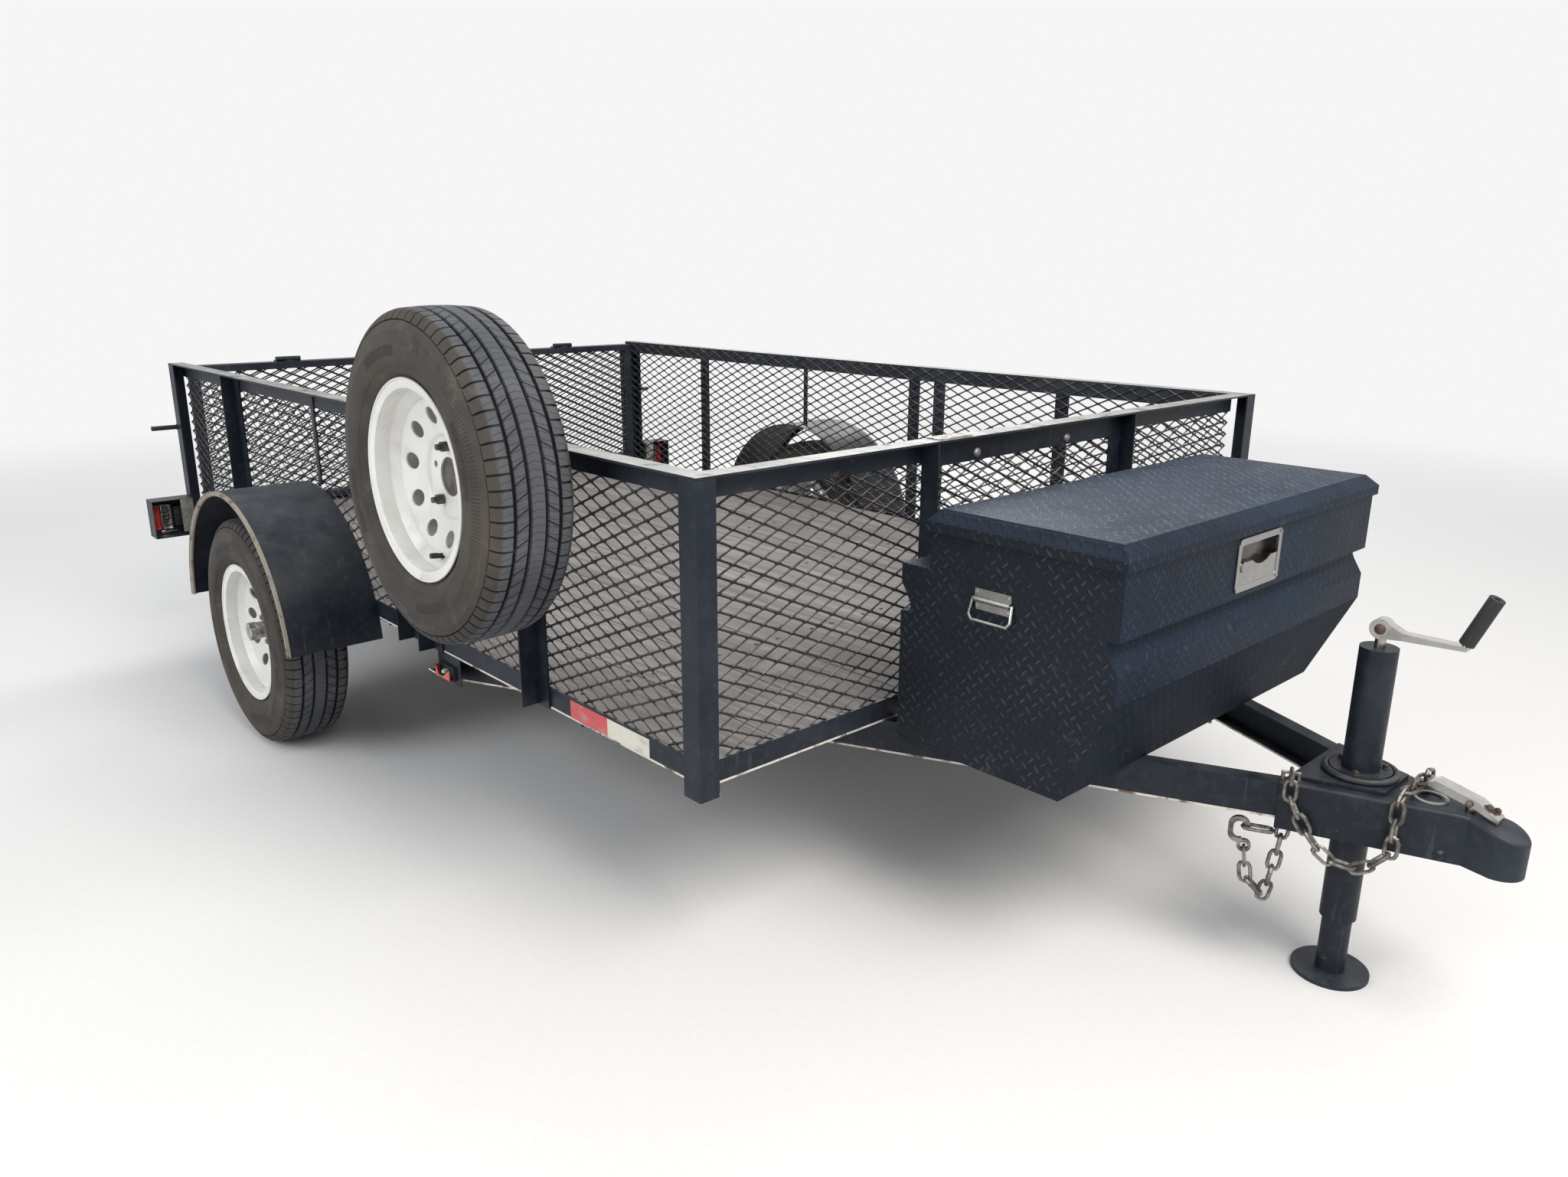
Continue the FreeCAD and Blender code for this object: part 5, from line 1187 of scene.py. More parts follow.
@dataclass
class Studio:
    """The floor, the light and the camera."""

    eye: tuple = (2.5583, -2.2280, 1.4090)
    yaw: float = 137.337
    pitch: float = 15.900
    roll: float = 0.272
    lens: float = 25.97
    floor_size: float = 40.0
    floor_fade: tuple = (3.2, 9.0)
    white: float = 0.92
    sky: float = 0.55
    aim: tuple = (0, 0, 0.5)
    lamps: tuple = (Softbox("key", (4.5, -1.0, 5.0), 3.5, 360, (1.0, 0.97, 0.92)),
                    Softbox("fill", (-1.0, -6.5, 3.5), 4.0, 210, (0.92, 0.96, 1.0)),
                    Softbox("rim", (-4.0, 4.5, 4.5), 3.0, 200, (1, 1, 1)))

    def camera(self) -> None:
        """Stand the camera where the photograph was taken from."""
        yaw, pitch = math.radians(self.yaw), math.radians(self.pitch)
        ahead = Vector((math.cos(yaw) * math.cos(pitch), math.sin(yaw) * math.cos(pitch), -math.sin(pitch)))
        turn = ahead.to_track_quat("-Z", "Y").to_matrix() @ Matrix.Rotation(math.radians(self.roll), 3, "Z")
        data = bpy.data.cameras.new("photo_camera")
        data.lens = self.lens
        data.sensor_width = 36.0
        data.clip_end = 200.0
        camera = bpy.data.objects.new("photo_camera", data)
        camera.matrix_world = Matrix.Translation(self.eye) @ turn.to_4x4()
        bpy.context.collection.objects.link(camera)
        bpy.context.scene.camera = camera

    def shown_white(self, tree: bpy.types.NodeTree) -> Socket:
        """1 for rays that show the background itself: straight, mirrored or through glass.

        Args:
            tree: The node tree that asks.

        Returns:
            The share, 0 or 1.
        """
        path = tree.nodes.new("ShaderNodeLightPath")
        total = path.outputs["Is Camera Ray"]
        for name in ("Is Glossy Ray", "Is Transmission Ray"):
            both = tree.nodes.new("ShaderNodeMath")
            both.operation = "MAXIMUM"
            tree.links.new(total, both.inputs[0])
            tree.links.new(path.outputs[name], both.inputs[1])
            total = both.outputs[0]
        return total

    def world(self) -> None:
        """A soft grey sky that shows as white behind the object."""
        world = bpy.data.worlds.new("studio_world")
        bpy.context.scene.world = world
        world.use_nodes = True
        tree = world.node_tree
        back = tree.nodes["Background"]
        back.inputs[0].default_value = (0.93, 0.96, 1.0, 1)
        back.inputs[1].default_value = self.sky
        white = tree.nodes.new("ShaderNodeBackground")
        white.inputs[0].default_value = (1, 1, 1, 1)
        white.inputs[1].default_value = self.white
        mix = tree.nodes.new("ShaderNodeMixShader")
        tree.links.new(self.shown_white(tree), mix.inputs[0])
        tree.links.new(back.outputs[0], mix.inputs[1])
        tree.links.new(white.outputs[0], mix.inputs[2])
        tree.links.new(mix.outputs[0], tree.nodes["World Output"].inputs[0])

    def floor(self) -> None:
        """A pale floor that fades into the background and keeps the trailer's shadow."""
        Bench.clear()
        bpy.ops.mesh.primitive_circle_add(vertices=96, radius=self.floor_size, fill_type="NGON",
                                          location=(0, 0, -0.0005))
        obj = Bench.settle(bpy.context.object)
        obj.name = "studio_floor"
        s = Shader("studio_floor")
        speckle = s.noise(60.0, 4.0)
        s.set(Base_Color=s.blend(speckle, (0.70, 0.69, 0.68), (0.76, 0.75, 0.74)), Roughness=0.9)
        tree = s.tree
        glow = s.node("ShaderNodeEmission", {"Color": (1, 1, 1, 1), "Strength": self.white})
        reach = s.node("ShaderNodeVectorMath", {0: s.place}, operation="LENGTH").outputs["Value"]
        share = s.math("MULTIPLY", s.ramp(reach, *self.floor_fade), self.shown_white(tree))
        mix = s.node("ShaderNodeMixShader", {0: share, 1: s.surface.outputs[0], 2: glow.outputs[0]})
        tree.links.new(mix.outputs[0], tree.nodes["Material Output"].inputs[0])
        obj.data.materials.append(s.material)
        obj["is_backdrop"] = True

    def light(self, box: Softbox) -> None:
        """Hang one softbox and aim it at the trailer.

        Args:
            box: The softbox.
        """
        data = bpy.data.lights.new(box.name, "AREA")
        data.shape = "SQUARE"
        data.size = box.size
        data.energy = box.power
        data.color = box.tint
        lamp = bpy.data.objects.new(box.name, data)
        lamp.location = box.place
        lamp.rotation_euler = (Vector(self.aim) - Vector(box.place)).to_track_quat("-Z", "Y").to_euler()
        bpy.context.collection.objects.link(lamp)

    def build(self) -> None:
        """Set up the whole studio."""
        self.camera()
        self.world()
        self.floor()
        for box in self.lamps:
            self.light(box)
        bpy.context.scene.view_settings.view_transform = "Standard"


@dataclass
class ExpandedSheet:
    """Panels of expanded steel: slit and drawn sheet, each strand leaning on its own long way."""

    long_way: float = 0.0762
    short_way: float = 0.0338
    strand_width: float = 0.0046
    strand_thick: float = 0.0027
    lean: float = 32.0
    bond: float = 0.013
    deck: float = 0.4806
    inward: float = 0.0008
    upright: float = 0.013

    def tile(self, name: str, origin: Vector) -> bpy.types.Object:
        """One diamond of four strands with its bonds, standing in the XZ plane.

        Args:
            name: The piece's name.
            origin: The diamond's middle.

        Returns:
            The piece.
        """
        rise = math.atan2(self.short_way, self.long_way)
        reach = math.hypot(self.long_way, self.short_way) / 2
        parts = []
        for u, v in ((-1, 1), (1, 1), (1, -1), (-1, -1)):
            Bench.clear()
            bpy.ops.mesh.primitive_cube_add(size=1)
            strand = bpy.context.object
            strand.scale = (reach, self.strand_thick, self.strand_width)
            Bench.settle(strand)
            turn = Matrix.Rotation(rise * u * v, 4, "Y") @ Matrix.Rotation(math.radians(self.lean), 4, "X")
            shift = Matrix.Translation(origin + Vector((u * self.long_way / 4, 0, v * self.short_way / 4)))
            strand.data.transform(shift @ turn)
            parts.append(strand)
        for u, v in ((1, 0), (0, 1)):
            size = Vector((self.bond / 2, self.strand_thick * 0.8, self.strand_width * 0.8))
            spot = origin + Vector((u * self.long_way / 2, 0, v * self.short_way / 2))
            bond = Bench.block("bond", spot - size, spot + size)
            lean = Matrix.Rotation(math.radians(self.lean), 4, "X")
            bond.data.transform(Matrix.Translation(spot) @ lean @ Matrix.Translation(-spot))
            parts.append(bond)
        return Bench.join(name, parts)

    def panel(self, name: str, low: Vector, high: Vector, crosswise: bool) -> bpy.types.Object:
        """A panel filling a box.

        Args:
            name: The panel's name.
            low: The box's lowest corner.
            high: Its highest corner.
            crosswise: True for a panel across the trailer, False for one along it.

        Returns:
            The trimmed panel.
        """
        size = high - low
        width = size.y if crosswise else size.x
        depth = (size.x if crosswise else size.y) / 2
        columns = math.ceil(width / self.long_way) + 1
        rows = math.ceil(size.z / self.short_way) + 1
        sheet = self.tile(name, Vector((0, 0, 0)))
        Bench.repeat(sheet, columns, Vector((self.long_way, 0, 0)))
        Bench.repeat(sheet, rows, Vector((0, 0, self.short_way)))
        for place, way in (((0, 0, 0), (-1, 0, 0)), ((width, 0, 0), (1, 0, 0)),
                           ((0, 0, 0), (0, 0, -1)), ((0, 0, size.z), (0, 0, 1))):
            Bench.trim(sheet, Vector(place), Vector(way))
        if crosswise:
            sheet.data.transform(Matrix.Rotation(math.radians(90), 4, "Z"))
            sheet.data.transform(Matrix.Translation((low.x + depth, low.y, low.z)))
        else:
            sheet.data.transform(Matrix.Translation((low.x, low.y + depth, low.z)))
        return sheet

    def build(self, finishes: Finishes) -> None:
        """Hang every panel in place of its plain plate.

        Args:
            finishes: The trailer's finishes.
        """
        for node, way in (("mesh_right", (0, 1, 0)), ("mesh_left", (0, -1, 0)), ("mesh_front", (-1, 0, 0))):
            low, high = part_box(node)
            low.z = max(low.z, self.deck)
            shift = Vector(way) * self.inward
            sheet = self.panel(node + "_sheet", low + shift, high + shift, node == "mesh_front")
            finishes.piece(sheet, StrandSteel(), CHASSIS)
            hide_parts(node)
        for leaf in ("lower", "upper"):
            node = "gate_%s_mesh" % leaf
            low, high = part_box(node)
            halves = [self.panel("half", low, Vector((high.x, CENTRE_Y - self.upright, high.z)), True),
                      self.panel("half", Vector((low.x, CENTRE_Y + self.upright, low.z)), high, True)]
            sheet = Bench.join(node + "_sheet", halves)
            finishes.piece(sheet, StrandSteel(), "gate_" + leaf)
            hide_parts(node)


@dataclass
class Tyre:
    """A ribbed trailer tyre with notched shoulders."""

    half: tuple = ((0.0797, 0.1903), (0.0797, 0.2090), (0.0860, 0.2165), (0.0900, 0.2210), (0.0950, 0.2290),
                   (0.0980, 0.2320), (0.0990, 0.2335), (0.1015, 0.2460), (0.1025, 0.2620), (0.1020, 0.2740),
                   (0.1007, 0.2755), (0.1007, 0.2790), (0.0997, 0.2805), (0.0965, 0.3000), (0.0925, 0.3125),
                   (0.0895, 0.3175), (0.0838, 0.3187), (0.0786, 0.3264), (0.0724, 0.3330), (0.0660, 0.3368),
                   (0.0530, 0.3385), (0.0508, 0.3345), (0.0455, 0.3345), (0.0436, 0.3423), (0.0224, 0.3437),
                   (0.0206, 0.3360), (0.0154, 0.3360), (0.0136, 0.3438))
    notch: tuple = ((0.0525, 0.3375), (0.0525, 0.3418), (0.0685, 0.3405), (0.0755, 0.3380), (0.0805, 0.3340),
                    (0.0850, 0.3275), (0.0890, 0.3205), (0.0830, 0.3180), (0.0780, 0.3258), (0.0720, 0.3324),
                    (0.0660, 0.3362))
    blocks: int = 72
    share: float = 0.84
    steps: int = 144

    def model(self) -> bpy.types.Object:
        """The tyre about the origin.

        Returns:
            The tyre.
        """
        outline = list(self.half) + [(-y, r) for y, r in reversed(self.half)]
        carcass = Bench.lathe("carcass", outline, Vector((0, 0, 0)), self.steps)
        block = Bench.lathe("shoulder", list(self.notch), Vector((0, 0, 0)), 2,
                            self.share * 2 * math.pi / self.blocks)
        shoulder = Bench.spread_round(block, self.blocks, Vector((0, 0, 0)))
        other = Bench.close(Bench.twin(shoulder, "shoulder", Matrix.Scale(-1, 4, (0, 1, 0))))
        return Bench.join("tyre", [carcass, shoulder, other])

    def build(self, finishes: Finishes, places: tuple) -> None:
        """Model the tyre once and put a copy in place of each plain one.

        Args:
            finishes: The trailer's finishes.
            places: The plain tyres' names with the bodies that carry them.
        """
        tyre = self.model()
        for node, body in places:
            low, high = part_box(node)
            middle = (low + high) / 2
            copy = Bench.twin(tyre, node + "_ribbed", Matrix.Translation(middle))
            rubber = TyreRubber(node + "_rubber", middle.x, middle.z, middle.y)
            finishes.piece(copy, rubber, body)
            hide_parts(node)
        bpy.data.objects.remove(tyre)


@dataclass
class Rim:
    """A pressed steel wheel: rolled barrel, dished disc with round vents, rubber valve."""

    barrel: tuple = ((84, 202.5), (84, 190), (82, 186.2), (62, 185.5), (50, 184), (40, 172), (30, 163.5),
                     (20, 162), (-44, 162), (-56, 183), (-80, 186), (-84, 190), (-84, 202.5), (-86.5, 204),
                     (-87, 206.5), (-85, 208), (-82, 206.5), (-80, 203), (-80, 190), (-59, 187), (-47, 166),
                     (18, 166), (28, 167.5), (37, 175.5), (48, 188), (62, 189.5), (80, 190), (80, 203),
                     (82, 206.5), (85, 208), (87, 206.5), (86.5, 204))
    disc: tuple = ((4, 41), (4, 81), (5.5, 84.5), (9.5, 87.5), (12, 91), (13.5, 97), (19, 112), (25, 130),
                   (32, 150), (34.5, 157), (34.5, 161.5), (32, 165), (28, 166.2), (-8, 162.6), (-8, 159.1),
                   (24, 159.5), (28.5, 158), (29.5, 155), (28, 150), (21, 130), (15, 112), (9.5, 97.5),
                   (8, 93), (5, 90.5), (1, 87), (0, 84), (0, 41))
    vents: int = 10
    vent_circle: float = 0.128
    vent_radius: float = 0.0182
    vent_start: float = 81.0
    lugs: int = 5
    lug_circle: float = 0.0635
    lug_radius: float = 0.0075
    lug_start: float = 90.0
    drill_half: float = 0.06
    steps: int = 120
    stem: tuple = ((0.024, 0.0), (0.024, 0.0085), (0.031, 0.0080), (0.036, 0.0058), (0.047, 0.0052),
                   (0.047, 0.0062), (0.061, 0.0058), (0.063, 0.0))
    stem_circle: float = 0.1675
    stem_lean: float = 8.0

    def drills(self) -> bpy.types.Object:
        """The bars that cut the vents and the lug holes.

        Returns:
            The bars as one piece.
        """
        bars = []
        half = Vector((0, self.drill_half, 0))
        vents = (self.vents, self.vent_circle, self.vent_radius, self.vent_start)
        lugs = (self.lugs, self.lug_circle, self.lug_radius, self.lug_start)
        for count, circle, radius, start in (vents, lugs):
            for i in range(count):
                turn = math.radians(start + 360 * i / count)
                spot = Vector((circle * math.cos(turn), 0, circle * math.sin(turn)))
                bars.append(Bench.bar("drill", spot - half, spot + half, radius, 24))
        return Bench.join("drills", bars)

    def model(self) -> bpy.types.Object:
        """The wheel about the origin, its outer face towards +Y.

        Returns:
            The wheel.
        """
        middle = Vector((0, 0, 0))
        barrel = Bench.lathe("barrel", [(y / 1000, r / 1000) for y, r in self.barrel], middle, self.steps)
        disc = Bench.lathe("disc", [(y / 1000, r / 1000) for y, r in self.disc], middle, self.steps)
        drills = self.drills()
        Bench.use(disc, "BOOLEAN", object=drills, operation="DIFFERENCE", solver="EXACT")
        bpy.data.objects.remove(drills)
        Bench.pick(disc)
        bpy.ops.object.shade_smooth_by_angle(angle=math.radians(30))
        return Bench.join("wheel", [barrel, disc])

    def valve(self) -> bpy.types.Object:
        """The rubber valve low in the barrel, with its cap.

        Returns:
            The valve.
        """
        stem = Bench.lathe("valve", list(self.stem), Vector((0, 0, 0)), 16)
        lean = Matrix.Rotation(math.radians(self.stem_lean), 4, "X")
        stem.data.transform(Matrix.Translation((0, 0, -self.stem_circle)) @ lean)
        return stem

    def build(self, finishes: Finishes, places: tuple) -> None:
        """Model the wheel once and put a copy in place of each plain one.

        Args:
            finishes: The trailer's finishes.
            places: The plain wheels' names, their bodies, their sides and how far each is turned.
        """
        wheel, valve = self.model(), self.valve()
        for node, body, side, turn in places:
            low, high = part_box(node)
            place = Matrix.Translation((low + high) / 2)
            place = place @ Matrix.Rotation(math.radians(180 if side is Side.RIGHT else 0), 4, "Z")
            copy = Bench.twin(wheel, node + "_pressed", place)
            finishes.piece(copy, WheelEnamel(), body)
            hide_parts(node)
            stem = Bench.twin(valve, node + "_valve", place @ Matrix.Rotation(math.radians(turn), 4, "Y"))
            finishes.piece(stem, Rubber(), body)
        bpy.data.objects.remove(wheel)
        bpy.data.objects.remove(valve)


@dataclass
class HubFace:
    """The finely ribbed dust cap pressed on each hub's end."""

    x: float = -1.944
    z: float = 0.344
    wheel_y: float = 1.149
    ribs: int = 28
    cap: tuple = ((0.0785, 0.006), (0.0785, 0.0215), (0.0770, 0.0240), (0.0660, 0.0262), (0.0560, 0.0262),
                  (0.0560, 0.0245), (0.0745, 0.0215), (0.0760, 0.0190), (0.0760, 0.006))
    rib_half: float = 0.0009
    rib_run: tuple = (0.058, 0.077)
    rib_reach: tuple = (0.0255, 0.0272)

    def build(self, finishes: Finishes) -> None:
        """Put a cap on each hub.

        Args:
            finishes: The trailer's finishes.
        """
        for side, body in ((Side.RIGHT, "wheel_right"), (Side.LEFT, "wheel_left")):
            centre = side.at(self.x, self.wheel_y, self.z)
            cap = Bench.lathe("cap", [(side.value * y, r) for y, r in self.cap], centre, 48)
            ends = [centre + Vector((half, side.value * run, reach)) for half, run, reach
                    in zip((-self.rib_half, self.rib_half), self.rib_run, self.rib_reach)]
            rib = Bench.block("rib", *ends)
            Bench.spread_round(rib, self.ribs, centre)
            cap = Bench.join(body + "_dust_cap", [cap, rib])
            finishes.piece(cap, HubSteel("cap_steel", (0.50, 0.49, 0.46), (0.12, 0.105, 0.09)), body)


@dataclass
class MarkerLamp:
    """Side markers on their plates: the left one whole, the right one broken open round its bulb."""

    rear: float = -1.160
    front: float = -1.040
    face: float = 0.9956
    sheet: float = 0.003
    low: float = 0.3648
    high: float = 0.4370
    lens_rear: float = -1.140
    lens_front: float = -1.060
    lens_low: float = 0.3768
    lens_high: float = 0.4128
    deep: float = 0.020
    wall: float = 0.0020
    tray_rim: float = 0.0022
    open_tray: float = 0.010
    shut_tray: float = 0.006
    shard_long: float = 0.021
    shard_gap: float = 0.033
    glass: tuple = ((0.0, 0.0), (0.0, 0.0048), (0.005, 0.0062), (0.010, 0.0066), (0.014, 0.0055),
                    (0.0165, 0.0030), (0.0172, 0.0))

    def plate(self, side: Side) -> bpy.types.Object:
        """The steel plate under the rail.

        Args:
            side: The trailer's side that it is on.

        Returns:
            The piece.
        """
        plate = Bench.block("marker_plate_%s" % side.name.lower(), side.at(self.rear, self.face, self.low),
                            side.at(self.front, self.face + self.sheet, self.high))
        return Bench.soften(plate, 0.0006, 2)

    def tray(self, side: Side, height: float) -> bpy.types.Object:
        """The black tray that held the lens.

        Args:
            side: The trailer's side that it is on.
            height: How far it stands out.

        Returns:
            The piece.
        """
        out = self.face + self.sheet
        tray = Bench.block("marker_tray_%s" % side.name.lower(), side.at(self.lens_rear, out, self.lens_low),
                           side.at(self.lens_front, out + height, self.lens_high))
        Bench.hollow(tray, Vector((0, side.value, 0)), self.tray_rim, height - self.wall)
        return Bench.soften(tray, 0.0005, 2)

    def shards(self, side: Side) -> bpy.types.Object:
        """What is left of the lens: a corner at its rear end and a large piece along its foot.

        Args:
            side: The trailer's side that it is on.

        Returns:
            The piece.
        """
        out = self.face + self.sheet
        seat = out + self.wall
        cap_in, cap_out = out + self.deep - self.wall, out + self.deep
        broken = self.lens_rear + self.shard_gap
        corner = Bench.block("shard", side.at(self.lens_rear, cap_in, self.lens_low),
                             side.at(self.lens_rear + self.shard_long, cap_out, self.lens_high - 0.002))
        Bench.trim(corner, side.at(self.lens_rear + 0.020, cap_in, self.lens_low), Vector((0.86, 0, 0.5)))
        end = Bench.block("shard", side.at(self.lens_rear, seat, self.lens_low),
                          side.at(self.lens_rear + self.wall, cap_out, self.lens_high - 0.006))
        foot = Bench.block("shard", side.at(broken, cap_in, self.lens_low),
                           side.at(self.lens_front - 0.003, cap_out, self.lens_high - 0.004))
        Bench.trim(foot, side.at(broken + 0.003, cap_in, self.lens_low + 0.004), Vector((-0.55, 0, 0.83)))
        Bench.trim(foot, side.at(self.lens_front - 0.005, cap_in, self.lens_low), Vector((0.97, 0, -0.22)))
        under = Bench.block("shard", side.at(broken, seat, self.lens_low),
                            side.at(self.lens_front - 0.004, cap_out, self.lens_low + self.wall))
        lens = Bench.join("marker_lens_broken", [corner, end, foot, under])
        return Bench.soften(lens, 0.0004, 1)

    def bulb(self, side: Side) -> bpy.types.Object:
        """The clear bulb in its holder.

        Args:
            side: The trailer's side that it is on.

        Returns:
            The piece.
        """
        out = self.face + self.sheet
        x = (self.lens_rear + self.lens_front) / 2 - 0.004
        spot = side.at(x, out + 0.003, (self.lens_low + self.lens_high) / 2)
        return Bench.lathe("marker_bulb", [(side.value * y, r) for y, r in self.glass], spot, 20)

    def lens(self, side: Side) -> bpy.types.Object:
        """The whole lens, rounded at its edges.

        Args:
            side: The trailer's side that it is on.

        Returns:
            The piece.
        """
        out = self.face + self.sheet
        gap = 0.001
        lens = Bench.block("marker_lens_whole",
                           side.at(self.lens_rear + gap, out + 0.003, self.lens_low + gap),
                           side.at(self.lens_front - gap, out + self.deep, self.lens_high - gap))
        return Bench.soften(lens, 0.005, 4)

    def build(self, finishes: Finishes) -> None:
        """Fit both markers.

        Args:
            finishes: The trailer's finishes.
        """
        glass = Lens("marker_lens", (0.62, 0.085, 0.035))
        for side in Side:
            finishes.piece(self.plate(side), WornPaint(), CHASSIS)
        finishes.piece(self.tray(Side.RIGHT, self.open_tray), BLACK_PLASTIC)
        finishes.piece(self.tray(Side.LEFT, self.shut_tray), BLACK_PLASTIC)
        broken = finishes.piece(self.shards(Side.RIGHT), glass, CHASSIS)
        whole = finishes.piece(self.lens(Side.LEFT), glass, CHASSIS)
        finishes.piece(self.bulb(Side.RIGHT), ClearPlastic())
        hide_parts("marker_lamps")
        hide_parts("marker_lamps")


@dataclass
class TailLamp:
    """Stop lamps on the sheet boxes: a red lens behind, its black body and wires inside."""

    rear: float = BED_REAR
    inner: float = 1.0556
    outer: float = 1.1676
    low: float = 0.439
    high: float = 0.551
    lens_deep: float = 0.026
    gasket: float = 0.004
    body_deep: float = 0.030
    body_wide: float = 0.040
    window_x: tuple = (-0.018, -0.006)
    window_margin: float = 0.022
    wire_radius: float = 0.0019
    wire_bend: float = 0.007
    wire_heights: tuple = (0.462, 0.484, 0.512)
    sheet: float = 0.0031
    red_out: tuple = (1.1440, 1.1780)
    bowl_out: tuple = (1.1060, 1.1425)
    foot_out: tuple = (1.0950, 1.1480)
    foot_high: tuple = (0.4300, 0.4420)
    glow_high: tuple = (0.446, 0.540)
    red_deep: float = 0.0140
    bowl_deep: float = 0.0180
    foot_deep: float = 0.0160
    tab_x: tuple = (0.0740, 0.0770)
    tab_out: tuple = (1.0425, 1.0860)
    tab_high: tuple = (0.4400, 0.5640)

    def lens(self, side: Side) -> bpy.types.Object:
        """The red lens with its raised rim.

        Args:
            side: The trailer's side that it is on.

        Returns:
            The piece.
        """
        name = "tail_lens_%s" % side.name.lower()
        lens = Bench.block(name, side.at(self.rear - self.lens_deep, self.inner, self.low),
                           side.at(self.rear - self.gasket, self.outer, self.high))
        Bench.hollow(lens, Vector((-1, 0, 0)), 0.008, 0.0025)
        return Bench.soften(lens, 0.003, 3)

    def body(self, side: Side) -> bpy.types.Object:
        """The lamp's black back, inside the box, and the gasket under the lens.

        Args:
            side: The trailer's side that it is on.

        Returns:
            The piece.
        """
        gap = 0.001
        seat = Bench.block("gasket", side.at(self.rear - self.gasket, self.inner + gap, self.low + gap),
                           side.at(self.rear, self.outer - gap, self.high - gap))
        front, edge = self.rear + 0.003, self.inner + 0.006
        back = Bench.block("back", side.at(front, edge, self.low + 0.020),
                           side.at(front + self.body_deep, edge + self.body_wide, self.high - 0.020))
        return Bench.soften(Bench.join("tail_body_%s" % side.name.lower(), [seat, back]), 0.003, 2)

    def window(self, side: Side) -> bpy.types.Object:
        """The clear number-plate window on the lens's outer side.

        Args:
            side: The trailer's side that it is on.

        Returns:
            The piece.
        """
        name = "tail_window_%s" % side.name.lower()
        rear, front = (self.rear + x for x in self.window_x)
        window = Bench.block(name, side.at(rear, self.outer - 0.001, self.low + self.window_margin),
                             side.at(front, self.outer + 0.0015, self.high - self.window_margin))
        return Bench.soften(window, 0.0008, 2)

    def inside(self, side: Side) -> tuple:
        """The lens's inner side, seen from the front through its broken back: red, then the silvered bowl.

        Args:
            side: The trailer's side that it is on.

        Returns:
            The red side and the bowl.
        """
        name = side.name.lower()
        front = self.rear + self.sheet
        blocks = []
        for part, deep, out, high in (("tail_red_%s" % name, self.red_deep, self.red_out, self.glow_high),
                                      ("tail_bowl_%s" % name, self.bowl_deep, self.bowl_out, self.glow_high),
                                      ("foot", self.foot_deep, self.foot_out, self.foot_high)):
            blocks.append(Bench.block(part, side.at(front, out[0], high[0]),
                                      side.at(self.rear + deep, out[1], high[1])))
        red, bowl, foot = blocks
        Bench.hollow(red, Vector((1, 0, 0)), 0.003, 0.004)
        Bench.hollow(bowl, Vector((1, 0, 0)), 0.004, 0.010)
        bowl = Bench.join("tail_bowl_%s" % name, [bowl, foot])
        return Bench.soften(red, 0.0012, 2), Bench.soften(bowl, 0.0012, 2)

    def tab(self, side: Side) -> bpy.types.Object:
        """The bent tab at the box's inner front edge; its pale grey is painted sunlight on dark paint.

        Args:
            side: The trailer's side that it is on.

        Returns:
            The piece.
        """
        name = "lamp_box_tab_%s" % side.name.lower()
        corners = zip(self.tab_x, self.tab_out, self.tab_high)
        tab = Bench.block(name, *(side.at(self.rear + x, out, high) for x, out, high in corners))
        return Bench.soften(tab, 0.0012, 3)

    def wires(self, side: Side) -> bpy.types.Object:
        """Three wires from the lamp's back to the rail.

        Args:
            side: The trailer's side that it is on.

        Returns:
            The piece.
        """
        start = self.rear + 0.003 + self.body_deep
        runs = []
        for i, height in enumerate(self.wire_heights):
            points = [side.at(self.rear + 0.012, 1.126 + 0.010 * i, height),
                      side.at(start + 0.004, 1.118 + 0.004 * i, height + 0.002),
                      side.at(start + 0.020, 1.086 - 0.006 * i, height + 0.022),
                      side.at(self.rear + 0.066, self.inner - 0.0125, 0.530 + 0.007 * i)]
            runs.append(Bench.rod("wire", points, self.wire_radius, self.wire_bend, 8))
        return Bench.join("tail_wires_%s" % side.name.lower(), runs)

    def build(self, finishes: Finishes) -> None:
        """Fit both lamps.

        Args:
            finishes: The trailer's finishes.
        """
        for side in Side:
            lens = finishes.piece(self.lens(side), RED_LENS, CHASSIS)
            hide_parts("tail_lamps")
            finishes.piece(self.body(side), BLACK_PLASTIC)
            finishes.piece(self.window(side), ClearPlastic())
            finishes.piece(self.wires(side), BLACK_PLASTIC)
            red, bowl = self.inside(side)
            finishes.piece(red, RED_LENS, CHASSIS)
            finishes.piece(bowl, Chrome("silvered_bowl", 0.1))
            # Pale grey on the tab: painted sunlight.
            finishes.piece(self.tab(side), HubSteel("tab_painted_sunlight", (0.30, 0.29, 0.26), (0.13, 0.12, 0.105)))


